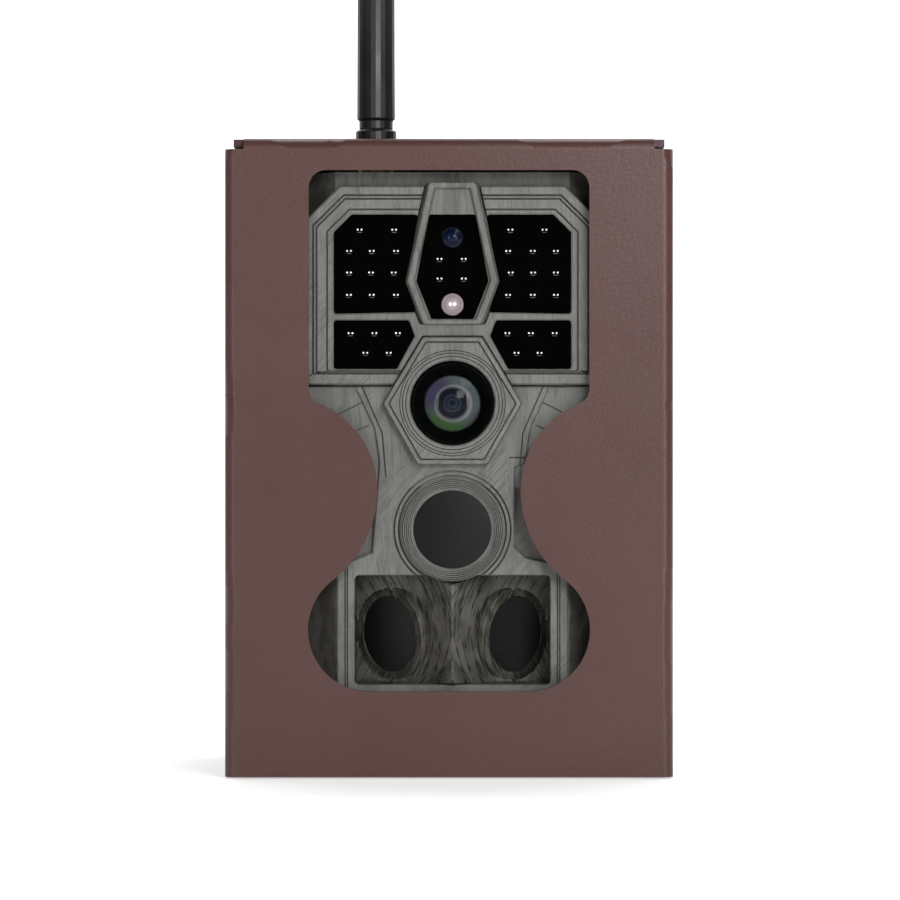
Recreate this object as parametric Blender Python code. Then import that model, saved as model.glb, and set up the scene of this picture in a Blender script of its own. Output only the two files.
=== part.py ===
"""Trail camera locked in a bent-sheet steel box, as separate pieces at their working places.

Every length below is in millimetres, and make() turns it into metres. X is right, Y is back and Z is up,
from the middle of the box's base. The lens looks along -Y.
"""

import math

import bmesh
import bpy
from mathutils import Matrix, Vector

MM = 0.001
GAP = 0.3  # between pieces that touch
RUN = 0.4  # between pieces that move past each other

# Camera body
CAM_WIDTH = 98.0
WALL = 2.2
FRONT_DEPTH = 50.0
CAM_BASE = 13.2
FOOT_MARGIN = 10.8
HEAD_MARGIN = 3.8
BODY_CORNER = 6.0
FACE_HALF = 31.0  # half width of the flat face, where the sides start to slope back
KNUCKLE = 2.3  # radius of the camera's hinge
HINGE_FOOT = 3.0  # short enough to clear the box's hinge when open

# What the front holds, stacked from the bottom
POCKET_HALF = 25.85
POCKET_HEIGHT = 28.9
PIR_RISE = 12.1
LENS_RISE = 33.35
FRAME_RISE = 4.85
FRAME_HALF = 39.3
FRAME_HEIGHT = 52.5
FRAME_CHAMFER = 9.6
EYE_RISES = {"light_sensor": 38.9, "flash_led": 21.2}  # above the frame's foot
EYE = 2.85

# Cells, which set how deep the rear half is
CELL_RADIUS = 7.1
CELL_LENGTH = 50.5
CELL_NUB = 2.7
HOLDER_FLOOR = 1.0
SEAL_ROOM = 1.2

# Room round the camera inside the box
SHEET = 2.0
BEND = 3.0
LEFT_ROOM = 8.9
RIGHT_ROOM = 7.1
TOP_ROOM = 6.5
FACE_ROOM = 6.0
LOCK_ROOM = 13.0

# Box details
EAR_STEP = 2.1
NOTCH_STEP = 5.0
NOTCH_DEPTH = 6.0
FLANGE_DROP = 2.9
TRAY_DROP = 2.5
TRAY_CLEAR = 0.5
TRAY_FLANGE = 22.0  # depth of the tray's right side
BARREL = 2.4
BARREL_INSET = 0.1
PIN_RADIUS = 1.2
HINGE_REACH = 3.5
HINGE_MARGIN = 4.0
KNUCKLES = 5
LOCK_HOLE = 6.0
STRAP_X = 38.0
STRAP_WIDTH = 8.0
STRAP_HEIGHT = 60.0
LAG_RADIUS = 3.5
LAG_STEP = 56.0
SHELF_HALF = 34.0
KNOB = 6.0  # tripod screw's head
TRIPOD_THREAD = 3.1

# Window
WINDOW_HALF = 36.9
WINDOW_CORNER = 4.6
WINDOW_ABOVE = 3.9
WINDOW_BELOW = 1.55
WAIST_HALF = 18.85
WAIST_RISE = 10.5
SHOULDER = 24.5
SHOULDER_FILLET = 4.0
LOBE_X = 20.75
LOBE = 16.3

# Lens, sensors and antenna
LENS_HOOD = 10.9
LENS_GLASS = 7.4
LENS_BARREL = 8.4
PIR_LENS = 10.4
PIR_RING = 13.4
SIDE_LENS = 10.15
SIDE_LENS_X = 15.6
SIDE_LENS_RISE = 13.5
SIDE_YAW = math.radians(46)
SENSOR_CAN = 4.1
ANTENNA_X = -20.5  # from the camera's middle
ANTENNA_BEHIND = 18.0  # behind the face
ANTENNA_RISE = 70.0
MAST = 5.1
COLLAR = 5.45
CONNECTOR = 3.1
ANTENNA_CLEAR = 1.05

# Latches and controls
LATCH_SPAN = 14.0
LATCH_HEIGHTS = {"latch_upper": 126.0, "latch_lower": 46.0}
LATCH_OUT = 2.7
LATCH_BACK = 7.5
LATCH_REACH = 17.5
LATCH_THICK = 1.6
LATCH_OPEN = math.radians(7)
BUTTON = 3.6
BUTTON_PITCH = 12.0
PANEL = 2.0
LCD = (44.0, 34.0)

# Worked out from the sizes above
CELL_PITCH = 2 * CELL_RADIUS + 0.4
FRAME_STRETCH = FRAME_HEIGHT / 52.5  # the windows follow the frame's height
POCKET_BOTTOM = CAM_BASE + FOOT_MARGIN
POCKET_TOP = POCKET_BOTTOM + POCKET_HEIGHT
PIR_Z = POCKET_TOP + PIR_RISE
LENS_Z = PIR_Z + LENS_RISE
FRAME_BOTTOM = LENS_Z + FRAME_RISE
FRAME_TOP = FRAME_BOTTOM + FRAME_HEIGHT
CAM_TOP = FRAME_TOP + HEAD_MARGIN
REAR_DEPTH = SEAL_ROOM + 2 * CELL_RADIUS + HOLDER_FLOOR + 2 * GAP + WALL - 0.2
SIDE = (CAM_WIDTH + LEFT_ROOM + RIGHT_ROOM) / 2 + SHEET
CAM_X = (LEFT_ROOM - RIGHT_ROOM) / 2
CAM_LEFT = CAM_X - CAM_WIDTH / 2
CAM_RIGHT = CAM_X + CAM_WIDTH / 2
HEIGHT = CAM_TOP + TOP_ROOM + SHEET
FRONT = -(2 * SHEET + FACE_ROOM + FRONT_DEPTH + REAR_DEPTH + LOCK_ROOM) / 2
BACK = -FRONT
FACE = FRONT + SHEET + FACE_ROOM
SPLIT = FACE + FRONT_DEPTH
REAR = SPLIT + REAR_DEPTH
BOX_HINGE = (BARREL + BARREL_INSET - SIDE, SPLIT)
CAM_HINGE = (CAM_LEFT - KNUCKLE - RUN, SPLIT)
HINGE_SPREAD = CAM_HINGE[0] - BOX_HINGE[0]
FLANGE_TOP = HEIGHT - FLANGE_DROP
TRAY_TOP = HEIGHT - TRAY_DROP
TRAY_RIGHT = SIDE - SHEET - TRAY_CLEAR
LOCK_Y = (REAR + BACK - SHEET) / 2
LOCK_Z = HEIGHT / 2
ANTENNA = (CAM_X + ANTENNA_X, FACE + ANTENNA_BEHIND)
LATCH = (CAM_RIGHT + LATCH_OUT, SPLIT + LATCH_BACK)
SCREW_Y = SPLIT + REAR_DEPTH / 2 - 1
RIDGE = FACE - 4.5  # front edge of the sensor block
PANEL_FRONT = SPLIT - 4
BOARD_BACK = SPLIT - 8


def clear_scene():
    for item in list(bpy.data.objects):
        bpy.data.objects.remove(item)


def material(name, colour, roughness, metallic=0.0):
    made = bpy.data.materials.new(name)
    made.use_nodes = True
    shader = made.node_tree.nodes["Principled BSDF"]
    shader.inputs["Base Color"].default_value = (*colour, 1)
    shader.inputs["Roughness"].default_value = roughness
    shader.inputs["Metallic"].default_value = metallic
    return made


def arc(centre, radius, start, end, steps):
    """Points from one angle to another, in degrees, both ends included."""
    angles = [math.radians(start + (end - start) * i / steps) for i in range(steps + 1)]
    return [(centre[0] + radius * math.cos(a), centre[1] + radius * math.sin(a)) for a in angles]


def circle(centre, radius, steps=24):
    return arc(centre, radius, 0, 360, steps)[:-1]


def rectangle(left, right, low, high):
    return [(left, low), (right, low), (right, high), (left, high)]


def rounded(left, right, low, high, radius, steps=5):
    corners = [(right - radius, high - radius), (left + radius, high - radius)]
    corners += [(left + radius, low + radius), (right - radius, low + radius)]
    return [p for i, c in enumerate(corners) for p in arc(c, radius, 90 * i, 90 * i + 90, steps)]


def mirrored(points, middle):
    """The same outline on the other side of an upright line."""
    return [(2 * middle - x, y) for x, y in reversed(points)]


def grown(points, amount):
    """A convex outline moved outwards by an amount, or inwards by a negative one."""
    area = sum(a[0] * b[1] - b[0] * a[1] for a, b in zip(points, points[1:] + points[:1]))
    out = amount if area > 0 else -amount
    moved = []
    for before, here, after in zip(points[-1:] + points[:-1], points, points[1:] + points[:1]):
        first = (Vector(here) - Vector(before)).normalized()
        second = (Vector(after) - Vector(here)).normalized()
        sides = Vector((first.y, -first.x)) + Vector((second.y, -second.x))
        moved.append(tuple(Vector(here) + sides * out * 2 / sides.length_squared))
    return moved


def prism(points, start, end, along="Z"):
    """An outline extruded along an axis. Along Y the outline is (x, z), and along X it is (y, z)."""
    order = {"Z": (0, 1, 2), "Y": (0, 2, 1), "X": (2, 0, 1)}[along]
    bm = bmesh.new()
    corners = [[(u, v, start)[axis] for axis in order] for u, v in points]
    face = bm.faces.new([bm.verts.new(corner) for corner in corners])
    made = bmesh.ops.extrude_face_region(bm, geom=[face])["geom"]
    moved = [item for item in made if isinstance(item, bmesh.types.BMVert)]
    bmesh.ops.translate(bm, verts=moved, vec=Vector([(0, 0, end - start)[axis] for axis in order]))
    bmesh.ops.recalc_face_normals(bm, faces=bm.faces)
    return bm


def block(x, y, z):
    return prism(rectangle(*x, *y), *z)


def turned(profile, at, along="Z", ring=False, steps=24):
    """A profile of (radius, height) turned about an axis. A ring's profile closes on itself."""
    bm = bmesh.new()
    verts = [bm.verts.new((radius, 0, height)) for radius, height in profile]
    ends = verts[1:] + verts[:1] if ring else verts[1:]
    edges = [bm.edges.new(pair) for pair in zip(verts, ends)]
    turn = {"axis": (0, 0, 1), "cent": (0, 0, 0), "angle": math.tau}
    bmesh.ops.spin(bm, geom=verts + edges, steps=steps, **turn)
    bmesh.ops.remove_doubles(bm, verts=bm.verts, dist=0.0001)
    bmesh.ops.recalc_face_normals(bm, faces=bm.faces)
    if along == "Y":
        bm.transform(Matrix.Rotation(math.radians(-90), 4, "X"))
    bm.transform(Matrix.Translation(at))
    return bm


def gathered(solids):
    """Several meshes as one."""
    bm = bmesh.new()
    for solid in solids:
        mesh = bpy.data.meshes.new("piece")
        solid.to_mesh(mesh)
        bm.from_mesh(mesh)
        bpy.data.meshes.remove(mesh)
    return bm


def make(name, bm, look, origin=(0, 0, 0)):
    """An object whose origin is at a point, from a mesh in millimetres."""
    bm.transform(Matrix.Translation(-Vector(origin)))
    bm.transform(Matrix.Scale(MM, 4))
    mesh = bpy.data.meshes.new(name)
    bm.to_mesh(mesh)
    mesh.shade_smooth()
    mesh.set_sharp_from_angle(angle=math.radians(35))
    made = bpy.data.objects.new(name, mesh)
    made.location = Vector(origin) * MM
    bpy.context.scene.collection.objects.link(made)
    if look:
        mesh.materials.append(look)
    return made


def combine(piece, operation, *solids, crossing=False):
    """A Boolean with the given solids, held in one hidden helper."""
    helper = make(f"{piece.name}_{operation.lower()}_{len(piece.modifiers)}", gathered(solids), None)
    helper.hide_render = True
    helper.display_type = "WIRE"
    boolean = piece.modifiers.new(operation.title(), "BOOLEAN")
    boolean.operation = operation
    boolean.object = helper
    boolean.use_self = crossing


def rod(centre, radius, start, end, along="Z", steps=24):
    return prism(circle(centre, radius, steps), start, end, along)


# Steel box


def knuckle_spans():
    """Heights of the box hinge's knuckles: the tray holds the even ones and the cover the odd ones."""
    length = (TRAY_TOP - 2 * HINGE_MARGIN) / KNUCKLES
    low = [HINGE_MARGIN + i * length for i in range(KNUCKLES)]
    return [(z + RUN / 2, z + length - RUN / 2) for z in low]


def window_outline():
    """Right half from the top middle down: corner, side, shoulder, waist and the round lower lobe."""
    waist_z = PIR_Z + WAIST_RISE
    top, bottom = FRAME_TOP + WINDOW_ABOVE, POCKET_BOTTOM - WINDOW_BELOW
    lobe_z = bottom + LOBE
    shoulder_x = WAIST_HALF + SHOULDER
    fillet_x = WINDOW_HALF - SHOULDER_FILLET
    rise = math.sqrt((SHOULDER + SHOULDER_FILLET) ** 2 - (shoulder_x - fillet_x) ** 2)
    turn = math.degrees(math.atan2(-rise, shoulder_x - fillet_x))
    drop = waist_z - lobe_z
    offset = WAIST_HALF - LOBE_X
    hip = (drop**2 + offset**2 - LOBE**2) / (2 * (LOBE - offset))
    hip_turn = math.degrees(math.atan2(lobe_z - waist_z, LOBE_X - WAIST_HALF - hip))
    right = arc((WINDOW_HALF - WINDOW_CORNER, top - WINDOW_CORNER), WINDOW_CORNER, 90, 0, 6)
    right += arc((fillet_x, waist_z + rise), SHOULDER_FILLET, 0, turn, 4)
    right += arc((shoulder_x, waist_z), SHOULDER, 180 + turn, 180, 9)[1:]
    right += arc((WAIST_HALF + hip, waist_z), hip, 180, 360 + hip_turn, 7)[1:]
    right += arc((LOBE_X, lobe_z), LOBE, 180 + hip_turn, -90, 12)[1:]
    return right + mirrored(right, 0)


def box_cover(look):
    outer = arc((SIDE - BEND, FRONT + BEND), BEND, 0, -90, 5)
    outer += [*arc((BEND - SIDE, FRONT + BEND), BEND, -90, -180, 5), (-SIDE, BACK), (SIDE, BACK)]
    cover = make("box_cover", prism(outer, 0, HEIGHT), look)
    bend = arc((FRONT + BEND, HEIGHT - BEND), BEND, 180, 90, 5)
    profile = [(FRONT - 1, -1), *bend, (BACK + 1, HEIGHT), (BACK + 1, -1)]
    combine(cover, "INTERSECT", prism(profile, -SIDE - 1, SIDE + 1, "X"))
    inside = rounded(SHEET - SIDE, SIDE - SHEET, FRONT + SHEET, BACK + 9, BEND - SHEET, 3)
    combine(cover, "DIFFERENCE", prism(inside, -9, HEIGHT - SHEET))
    notch = NOTCH_DEPTH + FRONT
    for side in (-1, 1):
        edge = sorted((side * (SIDE - NOTCH_STEP), side * (SIDE + 1)))
        ear = sorted((side * (SIDE - EAR_STEP), side * (SIDE + 1)))
        combine(cover, "DIFFERENCE", block(edge, (FRONT - 1, notch), (FLANGE_TOP, HEIGHT + 1)))
        combine(cover, "DIFFERENCE", block(ear, (notch - 1, BACK + 1), (FLANGE_TOP, HEIGHT + 1)))
    left = (-SIDE - 1, SHEET - SIDE + 1)
    spans = knuckle_spans()
    bounds = [-1, *spans[1], *spans[3], FLANGE_TOP + 0.5]
    reach = (SPLIT - HINGE_REACH, SPLIT + 1)
    gaps = [block(left, reach, pair) for pair in zip(bounds[::2], bounds[1::2])]
    gaps.append(block(left, (SPLIT, BACK + 1), (-2, FLANGE_TOP + 0.6)))
    combine(cover, "DIFFERENCE", *gaps, crossing=True)
    combine(cover, "UNION", *(rod(BOX_HINGE, BARREL, *spans[i], steps=16) for i in (1, 3)))
    combine(cover, "DIFFERENCE", rod(BOX_HINGE, PIN_RADIUS + 0.1, 0, FLANGE_TOP, steps=12))
    combine(cover, "DIFFERENCE", prism(window_outline(), FRONT - 1, FRONT + SHEET + 1, "Y"))
    combine(cover, "DIFFERENCE", rod((LOCK_Y, LOCK_Z), LOCK_HOLE, SIDE - SHEET - 1, SIDE + 1, "X"))
    room = COLLAR + ANTENNA_CLEAR
    x_span = (ANTENNA[0] - HINGE_SPREAD - room, ANTENNA[0] + room)
    y_span = (ANTENNA[1] - room, ANTENNA[1] + HINGE_SPREAD + room)
    swing = rounded(*x_span, *y_span, room)
    combine(cover, "DIFFERENCE", prism(swing, HEIGHT - SHEET - 1, HEIGHT + 1))


def box_tray(look):
    spans = knuckle_spans()
    outer = [(-SIDE, SPLIT), *arc((BEND - SIDE, BACK - BEND), BEND, 180, 90, 5)]
    outer += [*arc((TRAY_RIGHT - BEND, BACK - BEND), BEND, 90, 0, 5), (TRAY_RIGHT, SPLIT)]
    tray = make("box_tray", prism(outer, 0, TRAY_TOP), look)
    inside = rounded(SHEET - SIDE, TRAY_RIGHT - SHEET, SPLIT - 9, BACK - SHEET, BEND - SHEET, 3)
    combine(tray, "DIFFERENCE", prism(inside, SHEET, HEIGHT))
    left = (-SIDE - 1, SHEET - SIDE + 1)
    bounds = [-1, *spans[0], *spans[2], *spans[4], HEIGHT]
    reach = (SPLIT - 1, SPLIT + HINGE_REACH)
    gaps = [block(left, reach, pair) for pair in zip(bounds[::2], bounds[1::2])]
    combine(tray, "DIFFERENCE", *gaps)
    right = (TRAY_RIGHT - SHEET - 1, TRAY_RIGHT + 1)
    combine(tray, "DIFFERENCE", block(right, (SPLIT - 1, BACK - TRAY_FLANGE), (2 * SHEET, HEIGHT)))
    combine(tray, "UNION", *(rod(BOX_HINGE, BARREL, *spans[i], steps=16) for i in (0, 2, 4)))
    combine(tray, "DIFFERENCE", rod(BOX_HINGE, PIN_RADIUS + 0.1, 3, HEIGHT, steps=12))
    combine(tray, "DIFFERENCE", rod((LOCK_Y, LOCK_Z), LOCK_HOLE, -SIDE - 9, SIDE + 9, "X"))
    tall, wide = STRAP_HEIGHT / 2, STRAP_WIDTH / 2
    through = (BACK - SHEET - 1, BACK + 1)
    holes = []
    for x in (-STRAP_X, STRAP_X):
        slot = rounded(x - wide, x + wide, LOCK_Z - tall, LOCK_Z + tall, 3, 3)
        holes.append(prism(slot, *through, "Y"))
    for z in (LOCK_Z - LAG_STEP, LOCK_Z + LAG_STEP):
        holes.append(rod((0, z), LAG_RADIUS, *through, "Y", 16))
    combine(tray, "DIFFERENCE", *holes)
    combine(tray, "DIFFERENCE", rod((CAM_X, SCREW_Y), KNOB + 0.5, -1, SHEET + 1))


def box_fittings(look, bright):
    spans = knuckle_spans()
    low, high = spans[0][0] - 1.5, spans[-1][1] + 0.6
    head = BARREL - 0.6
    profile = [(0, low), (head, low), (head, low + 1.1), (PIN_RADIUS, low + 1.1)]
    profile += [(PIN_RADIUS, high), (0, high)]
    make("box_hinge_pin", turned(profile, (*BOX_HINGE, 0), steps=12), bright)
    top, under = CAM_BASE - GAP, SHEET + GAP
    left, right = CAM_X - SHELF_HALF, CAM_X + SHELF_HALF
    channel = [(left, under), (left, top), (right, top), (right, under), (right - SHEET, under)]
    channel += [(right - SHEET, top - SHEET), (left + SHEET, top - SHEET), (left + SHEET, under)]
    shelf = make("camera_shelf", prism(channel, SPLIT + 1, BACK - SHEET - GAP, "Y"), look)
    combine(shelf, "DIFFERENCE", rod((CAM_X, SCREW_Y), TRIPOD_THREAD + 0.5, top - SHEET - 1, top + 1))
    edge, under, end = KNOB - 0.2, top - SHEET - 0.5, CAM_BASE + 8.5
    knob = [(0, 3), (edge, 3), (KNOB, 3.4), (KNOB, under - 0.4), (edge, under)]
    knob += [(TRIPOD_THREAD, under), (TRIPOD_THREAD, end), (0, end)]
    make("tripod_screw", turned(knob, (CAM_X, SCREW_Y, 0)), bright)


# Camera, rear half


def body_outline(inset=0.0):
    """The camera seen from the front, as (x, z)."""
    return rounded(
        CAM_LEFT + inset, CAM_RIGHT - inset, CAM_BASE + inset, CAM_TOP - inset, BODY_CORNER - inset, 4
    )


def hinge_knuckle(side, low, high):
    """A camera hinge knuckle with its foot on the wall: side -1 on the front half, 1 on the rear."""
    wall = CAM_LEFT + 0.6
    barrel = arc((0, 0), KNUCKLE, -8, 240, 14)
    outline = [(wall - CAM_HINGE[0], -HINGE_FOOT), (wall - CAM_HINGE[0], -GAP), *barrel]
    placed = [(CAM_HINGE[0] + x, CAM_HINGE[1] - side * y) for x, y in outline]
    return prism(placed, low, high)


def camera_hinges():
    """Heights of each camera hinge: rear knuckle, front knuckle, rear knuckle."""
    feet = (CAM_BASE + 16, CAM_TOP - 36)
    return [[(z, z + 6), (z + 6 + RUN, z + 14 - RUN), (z + 14, z + 20)] for z in feet]


def rear_half(plastic, seal, brass, bright):
    shell = make("rear_shell", prism(body_outline(), SPLIT + GAP / 2, REAR, "Y"), plastic)
    slope = [(CAM_LEFT - 1, SPLIT - 1), (CAM_LEFT - 1, REAR - 4), (CAM_LEFT + 4, REAR + 1)]
    slope += mirrored(slope, CAM_X)
    combine(shell, "INTERSECT", prism(slope, 0, HEIGHT))
    combine(shell, "DIFFERENCE", prism(body_outline(WALL), SPLIT - 1, REAR - WALL + 0.2, "Y"))
    feet = [hinge_knuckle(1, *span) for hinge in camera_hinges() for span in (hinge[0], hinge[2])]
    boss = block((CAM_X - 7, CAM_X + 7), (SCREW_Y - 6, SCREW_Y + 6), (CAM_BASE + 1, CAM_BASE + 11))
    lugs = []
    for height in LATCH_HEIGHTS.values():
        for low in (height - LATCH_SPAN / 2 - RUN - 2, height + LATCH_SPAN / 2 + RUN):
            across_lug = (CAM_RIGHT - 0.6, LATCH[0] + 1.7)
            lugs.append(block(across_lug, (LATCH[1] - 2, LATCH[1] + 2), (low, low + 2)))
    combine(shell, "UNION", boss, *feet, *lugs)
    bore = rod(CAM_HINGE, 1.0, CAM_BASE, CAM_TOP, steps=12)
    screw_way = rod((CAM_X, SCREW_Y), TRIPOD_THREAD + 1.2, CAM_BASE - 1, CAM_BASE + 9.6)
    trunnions = rod(LATCH, 1.2, CAM_BASE, CAM_TOP, steps=12)
    combine(shell, "DIFFERENCE", bore, screw_way, trunnions)
    bore, outside = TRIPOD_THREAD + 0.25, TRIPOD_THREAD + 0.9
    sleeve = [(bore, 0.2), (outside, 0.2), (outside, 9), (bore, 9)]
    make("tripod_insert", turned(sleeve, (CAM_X, SCREW_Y, CAM_BASE), ring=True), brass)
    ends = camera_hinges()
    pin = rod(CAM_HINGE, 0.8, ends[0][0][0] - 0.6, ends[1][2][1] + 0.6, steps=12)
    make("camera_hinge_pin", pin, bright)
    inner = WALL + GAP
    gasket = make("shell_seal", prism(body_outline(inner), SPLIT - 0.6, SPLIT + 2.2, "Y"), seal)
    combine(gasket, "DIFFERENCE", prism(body_outline(inner + 1.5), SPLIT - 2, SPLIT + 4, "Y"))


def cell_heights():
    """The foot of each row of cells, centred in the rear shell."""
    room = CELL_LENGTH + 1.2
    low = (CAM_BASE + CAM_TOP) / 2 - room - 0.8
    return low, low + room + 1.6, room


def batteries(plastic, cell_look):
    first, second, room = cell_heights()
    floor = SPLIT + SEAL_ROOM + 2 * CELL_RADIUS + GAP
    centre = SPLIT + SEAL_ROOM + CELL_RADIUS
    half = 1.5 * CELL_PITCH + CELL_RADIUS + 0.6
    outer = rectangle(CAM_X - half - 1.6, CAM_X + half + 1.6, first - 1.6, second + room + 1.6)
    holder = make("battery_holder", prism(outer, SPLIT + SEAL_ROOM + 1, floor + HOLDER_FLOOR, "Y"), plastic)
    for z in (first, second):
        row = rectangle(CAM_X - half, CAM_X + half, z, z + room)
        combine(holder, "DIFFERENCE", prism(row, SPLIT, floor, "Y"))
    body, end = CELL_LENGTH - 1.3, CELL_RADIUS - 0.5
    profile = [(0, 0), (end, 0), (CELL_RADIUS, 0.5), (CELL_RADIUS, body - 0.5), (end, body)]
    profile += [(CELL_NUB, body), (CELL_NUB, CELL_LENGTH), (0, CELL_LENGTH)]
    cell = make("battery_1", turned(profile, (0, 0, -CELL_LENGTH / 2), steps=20), cell_look)
    for i in range(8):
        copy = cell if i == 0 else bpy.data.objects.new(f"battery_{i + 1}", cell.data)
        if i:
            bpy.context.scene.collection.objects.link(copy)
        foot = (first, second)[i // 4]
        x = CAM_X + (i % 4 - 1.5) * CELL_PITCH
        copy.location = Vector((x, centre, foot + room / 2)) * MM
        copy.rotation_euler = (math.pi * (i % 2), 0, 0)


def latches(look):
    """Each latch is drawn closed, then turned open about its trunnions."""
    for name, height in LATCH_HEIGHTS.items():
        low, high = height - LATCH_SPAN / 2, height + LATCH_SPAN / 2
        half, nose = LATCH_THICK / 2, GAP - LATCH_OUT
        outline = [(half, 1.8), (half, -LATCH_REACH), (nose, -LATCH_REACH), (nose, 2.6 - LATCH_REACH)]
        outline += [(-half, 2.6 - LATCH_REACH), (-half, 1.8)]
        solid = prism([(LATCH[0] + x, LATCH[1] + y) for x, y in outline], low, high)
        latch = make(name, solid, look, (*LATCH, height))
        combine(latch, "UNION", rod((0, 0), 1.0, -LATCH_SPAN / 2 - 2, LATCH_SPAN / 2 + 2, steps=12))
        helper = latch.modifiers[-1].object
        helper.location = latch.location
        latch.rotation_euler.z = LATCH_OPEN


# Camera, front half


def face_outline(inset=0.0):
    """The front half seen from above: a flat face between sides that slope back at 45 degrees."""
    half, slope = CAM_WIDTH / 2 - inset, CAM_WIDTH / 2 - FACE_HALF
    short = inset * (math.sqrt(2) - 1)
    right = [(CAM_X + half, SPLIT - GAP / 2), (CAM_X + half, FACE + slope + short)]
    right.append((CAM_X + FACE_HALF - short, FACE + inset))
    return right + mirrored(right, CAM_X)


def frame_outline():
    cut = FRAME_CHAMFER
    right = [(CAM_X + FRAME_HALF - cut, FRAME_TOP), (CAM_X + FRAME_HALF, FRAME_TOP - cut)]
    right += [(CAM_X + FRAME_HALF, FRAME_BOTTOM + 1.5), (CAM_X + FRAME_HALF - 1.5, FRAME_BOTTOM)]
    return right + mirrored(right, CAM_X)


def across(points):
    """Points given from the camera's middle, with z from the frame's foot at its drawn height."""
    return [(CAM_X + x, FRAME_BOTTOM + FRAME_STRETCH * z) for x, z in points]


def window_panes():
    """The five dark windows of the frame, each an outline as (x, z)."""
    upper = across(
        [(-26.6, 44.8), (-9.2, 44.8), (-11.7, 27.4), (-9.6, 19.3), (-31.2, 18.9), (-31.2, 40.2)]
    )
    lower = across([(-31.2, 16.9), (-11.6, 16.9), (-10.1, 12.9), (-14.8, 4.3), (-31.2, 4.2)])
    centre = across([(-6.0, 44.8), (6.0, 44.8), (9.4, 27.4), (5.5, 17.5), (-5.5, 17.5), (-9.4, 27.4)])
    return {
        "ir_window_upper_left": upper,
        "ir_window_upper_right": mirrored(upper, CAM_X),
        "ir_window_lower_left": lower,
        "ir_window_lower_right": mirrored(lower, CAM_X),
        "ir_window_centre": centre,
    }


def bezel_outline():
    return across([(-5.9, 53.4), (5.9, 53.4), (11.65, 27.4), (7.4, 16.1), (-7.4, 16.1), (-11.65, 27.4)])


def hexagon_outline():
    right = [(CAM_X + 7.65, LENS_Z + 17.5), (CAM_X + 18.05, LENS_Z - 0.1), (CAM_X + 9.0, LENS_Z - 15.9)]
    return right + mirrored(right, CAM_X)


def front_shell(plastic):
    shell = make("front_shell", prism(face_outline(), CAM_BASE, CAM_TOP), plastic)
    combine(shell, "INTERSECT", prism(body_outline(), FACE - 5, SPLIT + 5, "Y"))
    head = prism(frame_outline(), FACE - 0.2, FACE + 16, "Y")
    feet = [hinge_knuckle(-1, *hinge[1]) for hinge in camera_hinges()]
    catches = []
    for z in LATCH_HEIGHTS.values():
        catches.append(block((CAM_RIGHT - 0.6, CAM_RIGHT + 1.5), (SPLIT - 7, SPLIT - 5), (z - 4, z + 4)))
    combine(shell, "UNION", head, *feet, *catches)
    inner = [(x, y + (9 if y > SPLIT - 1 else 0)) for x, y in face_outline(WALL)]
    combine(shell, "DIFFERENCE", prism(inner, CAM_BASE + WALL, CAM_TOP - WALL))
    led_way = prism(across(rectangle(-30, 30, 4.3, 47.5)), FACE - 1, FACE + WALL + 1, "Y")
    lens_way = rod((CAM_X, LENS_Z), LENS_HOOD + GAP, FACE - 2, FACE + WALL + 2, "Y")
    combine(shell, "DIFFERENCE", led_way)
    combine(shell, "DIFFERENCE", lens_way)
    combine(shell, "DIFFERENCE", rod((CAM_X, PIR_Z), PIR_LENS - 1.2, FACE - 1, FACE + WALL + 1, "Y"))
    pocket = rectangle(CAM_X - POCKET_HALF, CAM_X + POCKET_HALF, POCKET_BOTTOM, POCKET_TOP)
    combine(shell, "DIFFERENCE", prism(pocket, FACE - 1.5, FACE + WALL + 1.5, "Y"))
    combine(shell, "DIFFERENCE", rod(CAM_HINGE, 1.0, CAM_BASE, CAM_TOP, steps=12))
    combine(shell, "DIFFERENCE", rod(ANTENNA, CONNECTOR + GAP, CAM_TOP - WALL - 1, CAM_TOP + 1))


def frame_and_windows(plastic, dark):
    frame = make("ir_frame", prism(frame_outline(), FACE - 3.5, FACE - 0.5, "Y"), plastic)
    panes = window_panes()
    sides = [grown(outline, GAP) for name, outline in panes.items() if name != "ir_window_centre"]
    combine(frame, "DIFFERENCE", *(prism(outline, FACE - 5, FACE + 1, "Y") for outline in sides))
    combine(frame, "DIFFERENCE", prism(grown(bezel_outline(), GAP), FACE - 6, FACE + 2, "Y"))
    combine(frame, "DIFFERENCE", prism(grown(hexagon_outline(), GAP), FACE - 7, FACE + 3, "Y"))
    bezel = make("centre_bezel", prism(bezel_outline(), FACE - 4.5, FACE - 0.5, "Y"), plastic)
    combine(bezel, "DIFFERENCE", prism(grown(panes["ir_window_centre"], GAP), FACE - 6, FACE + 1, "Y"))
    for name, outline in panes.items():
        pane = make(name, prism(outline, FACE - 2.6, FACE - 0.6, "Y"), dark)
        if name == "ir_window_centre":
            centres = across([(0, rise) for rise in EYE_RISES.values()])
            eyes = [rod(centre, EYE + GAP, FACE - 4, FACE + 1, "Y") for centre in centres]
            combine(pane, "DIFFERENCE", *eyes)


def led_array(board, dark, clear):
    plate = prism(across(rectangle(-29.5, 29.5, 5.4, 47.0)), FACE + 3.5, FACE + 5.1, "Y")
    make("led_board", plate, board)
    for name, rise in EYE_RISES.items():
        profile = [(0, -2.6), (EYE - 1.2, -2.3), (EYE, -1.4), (EYE, 3.2), (0, 3.2)]
        eye = turned(profile, (CAM_X, FACE, across([(0, rise)])[0][1]), "Y", steps=20)
        make(name, eye, clear if name == "flash_led" else dark)


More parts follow.
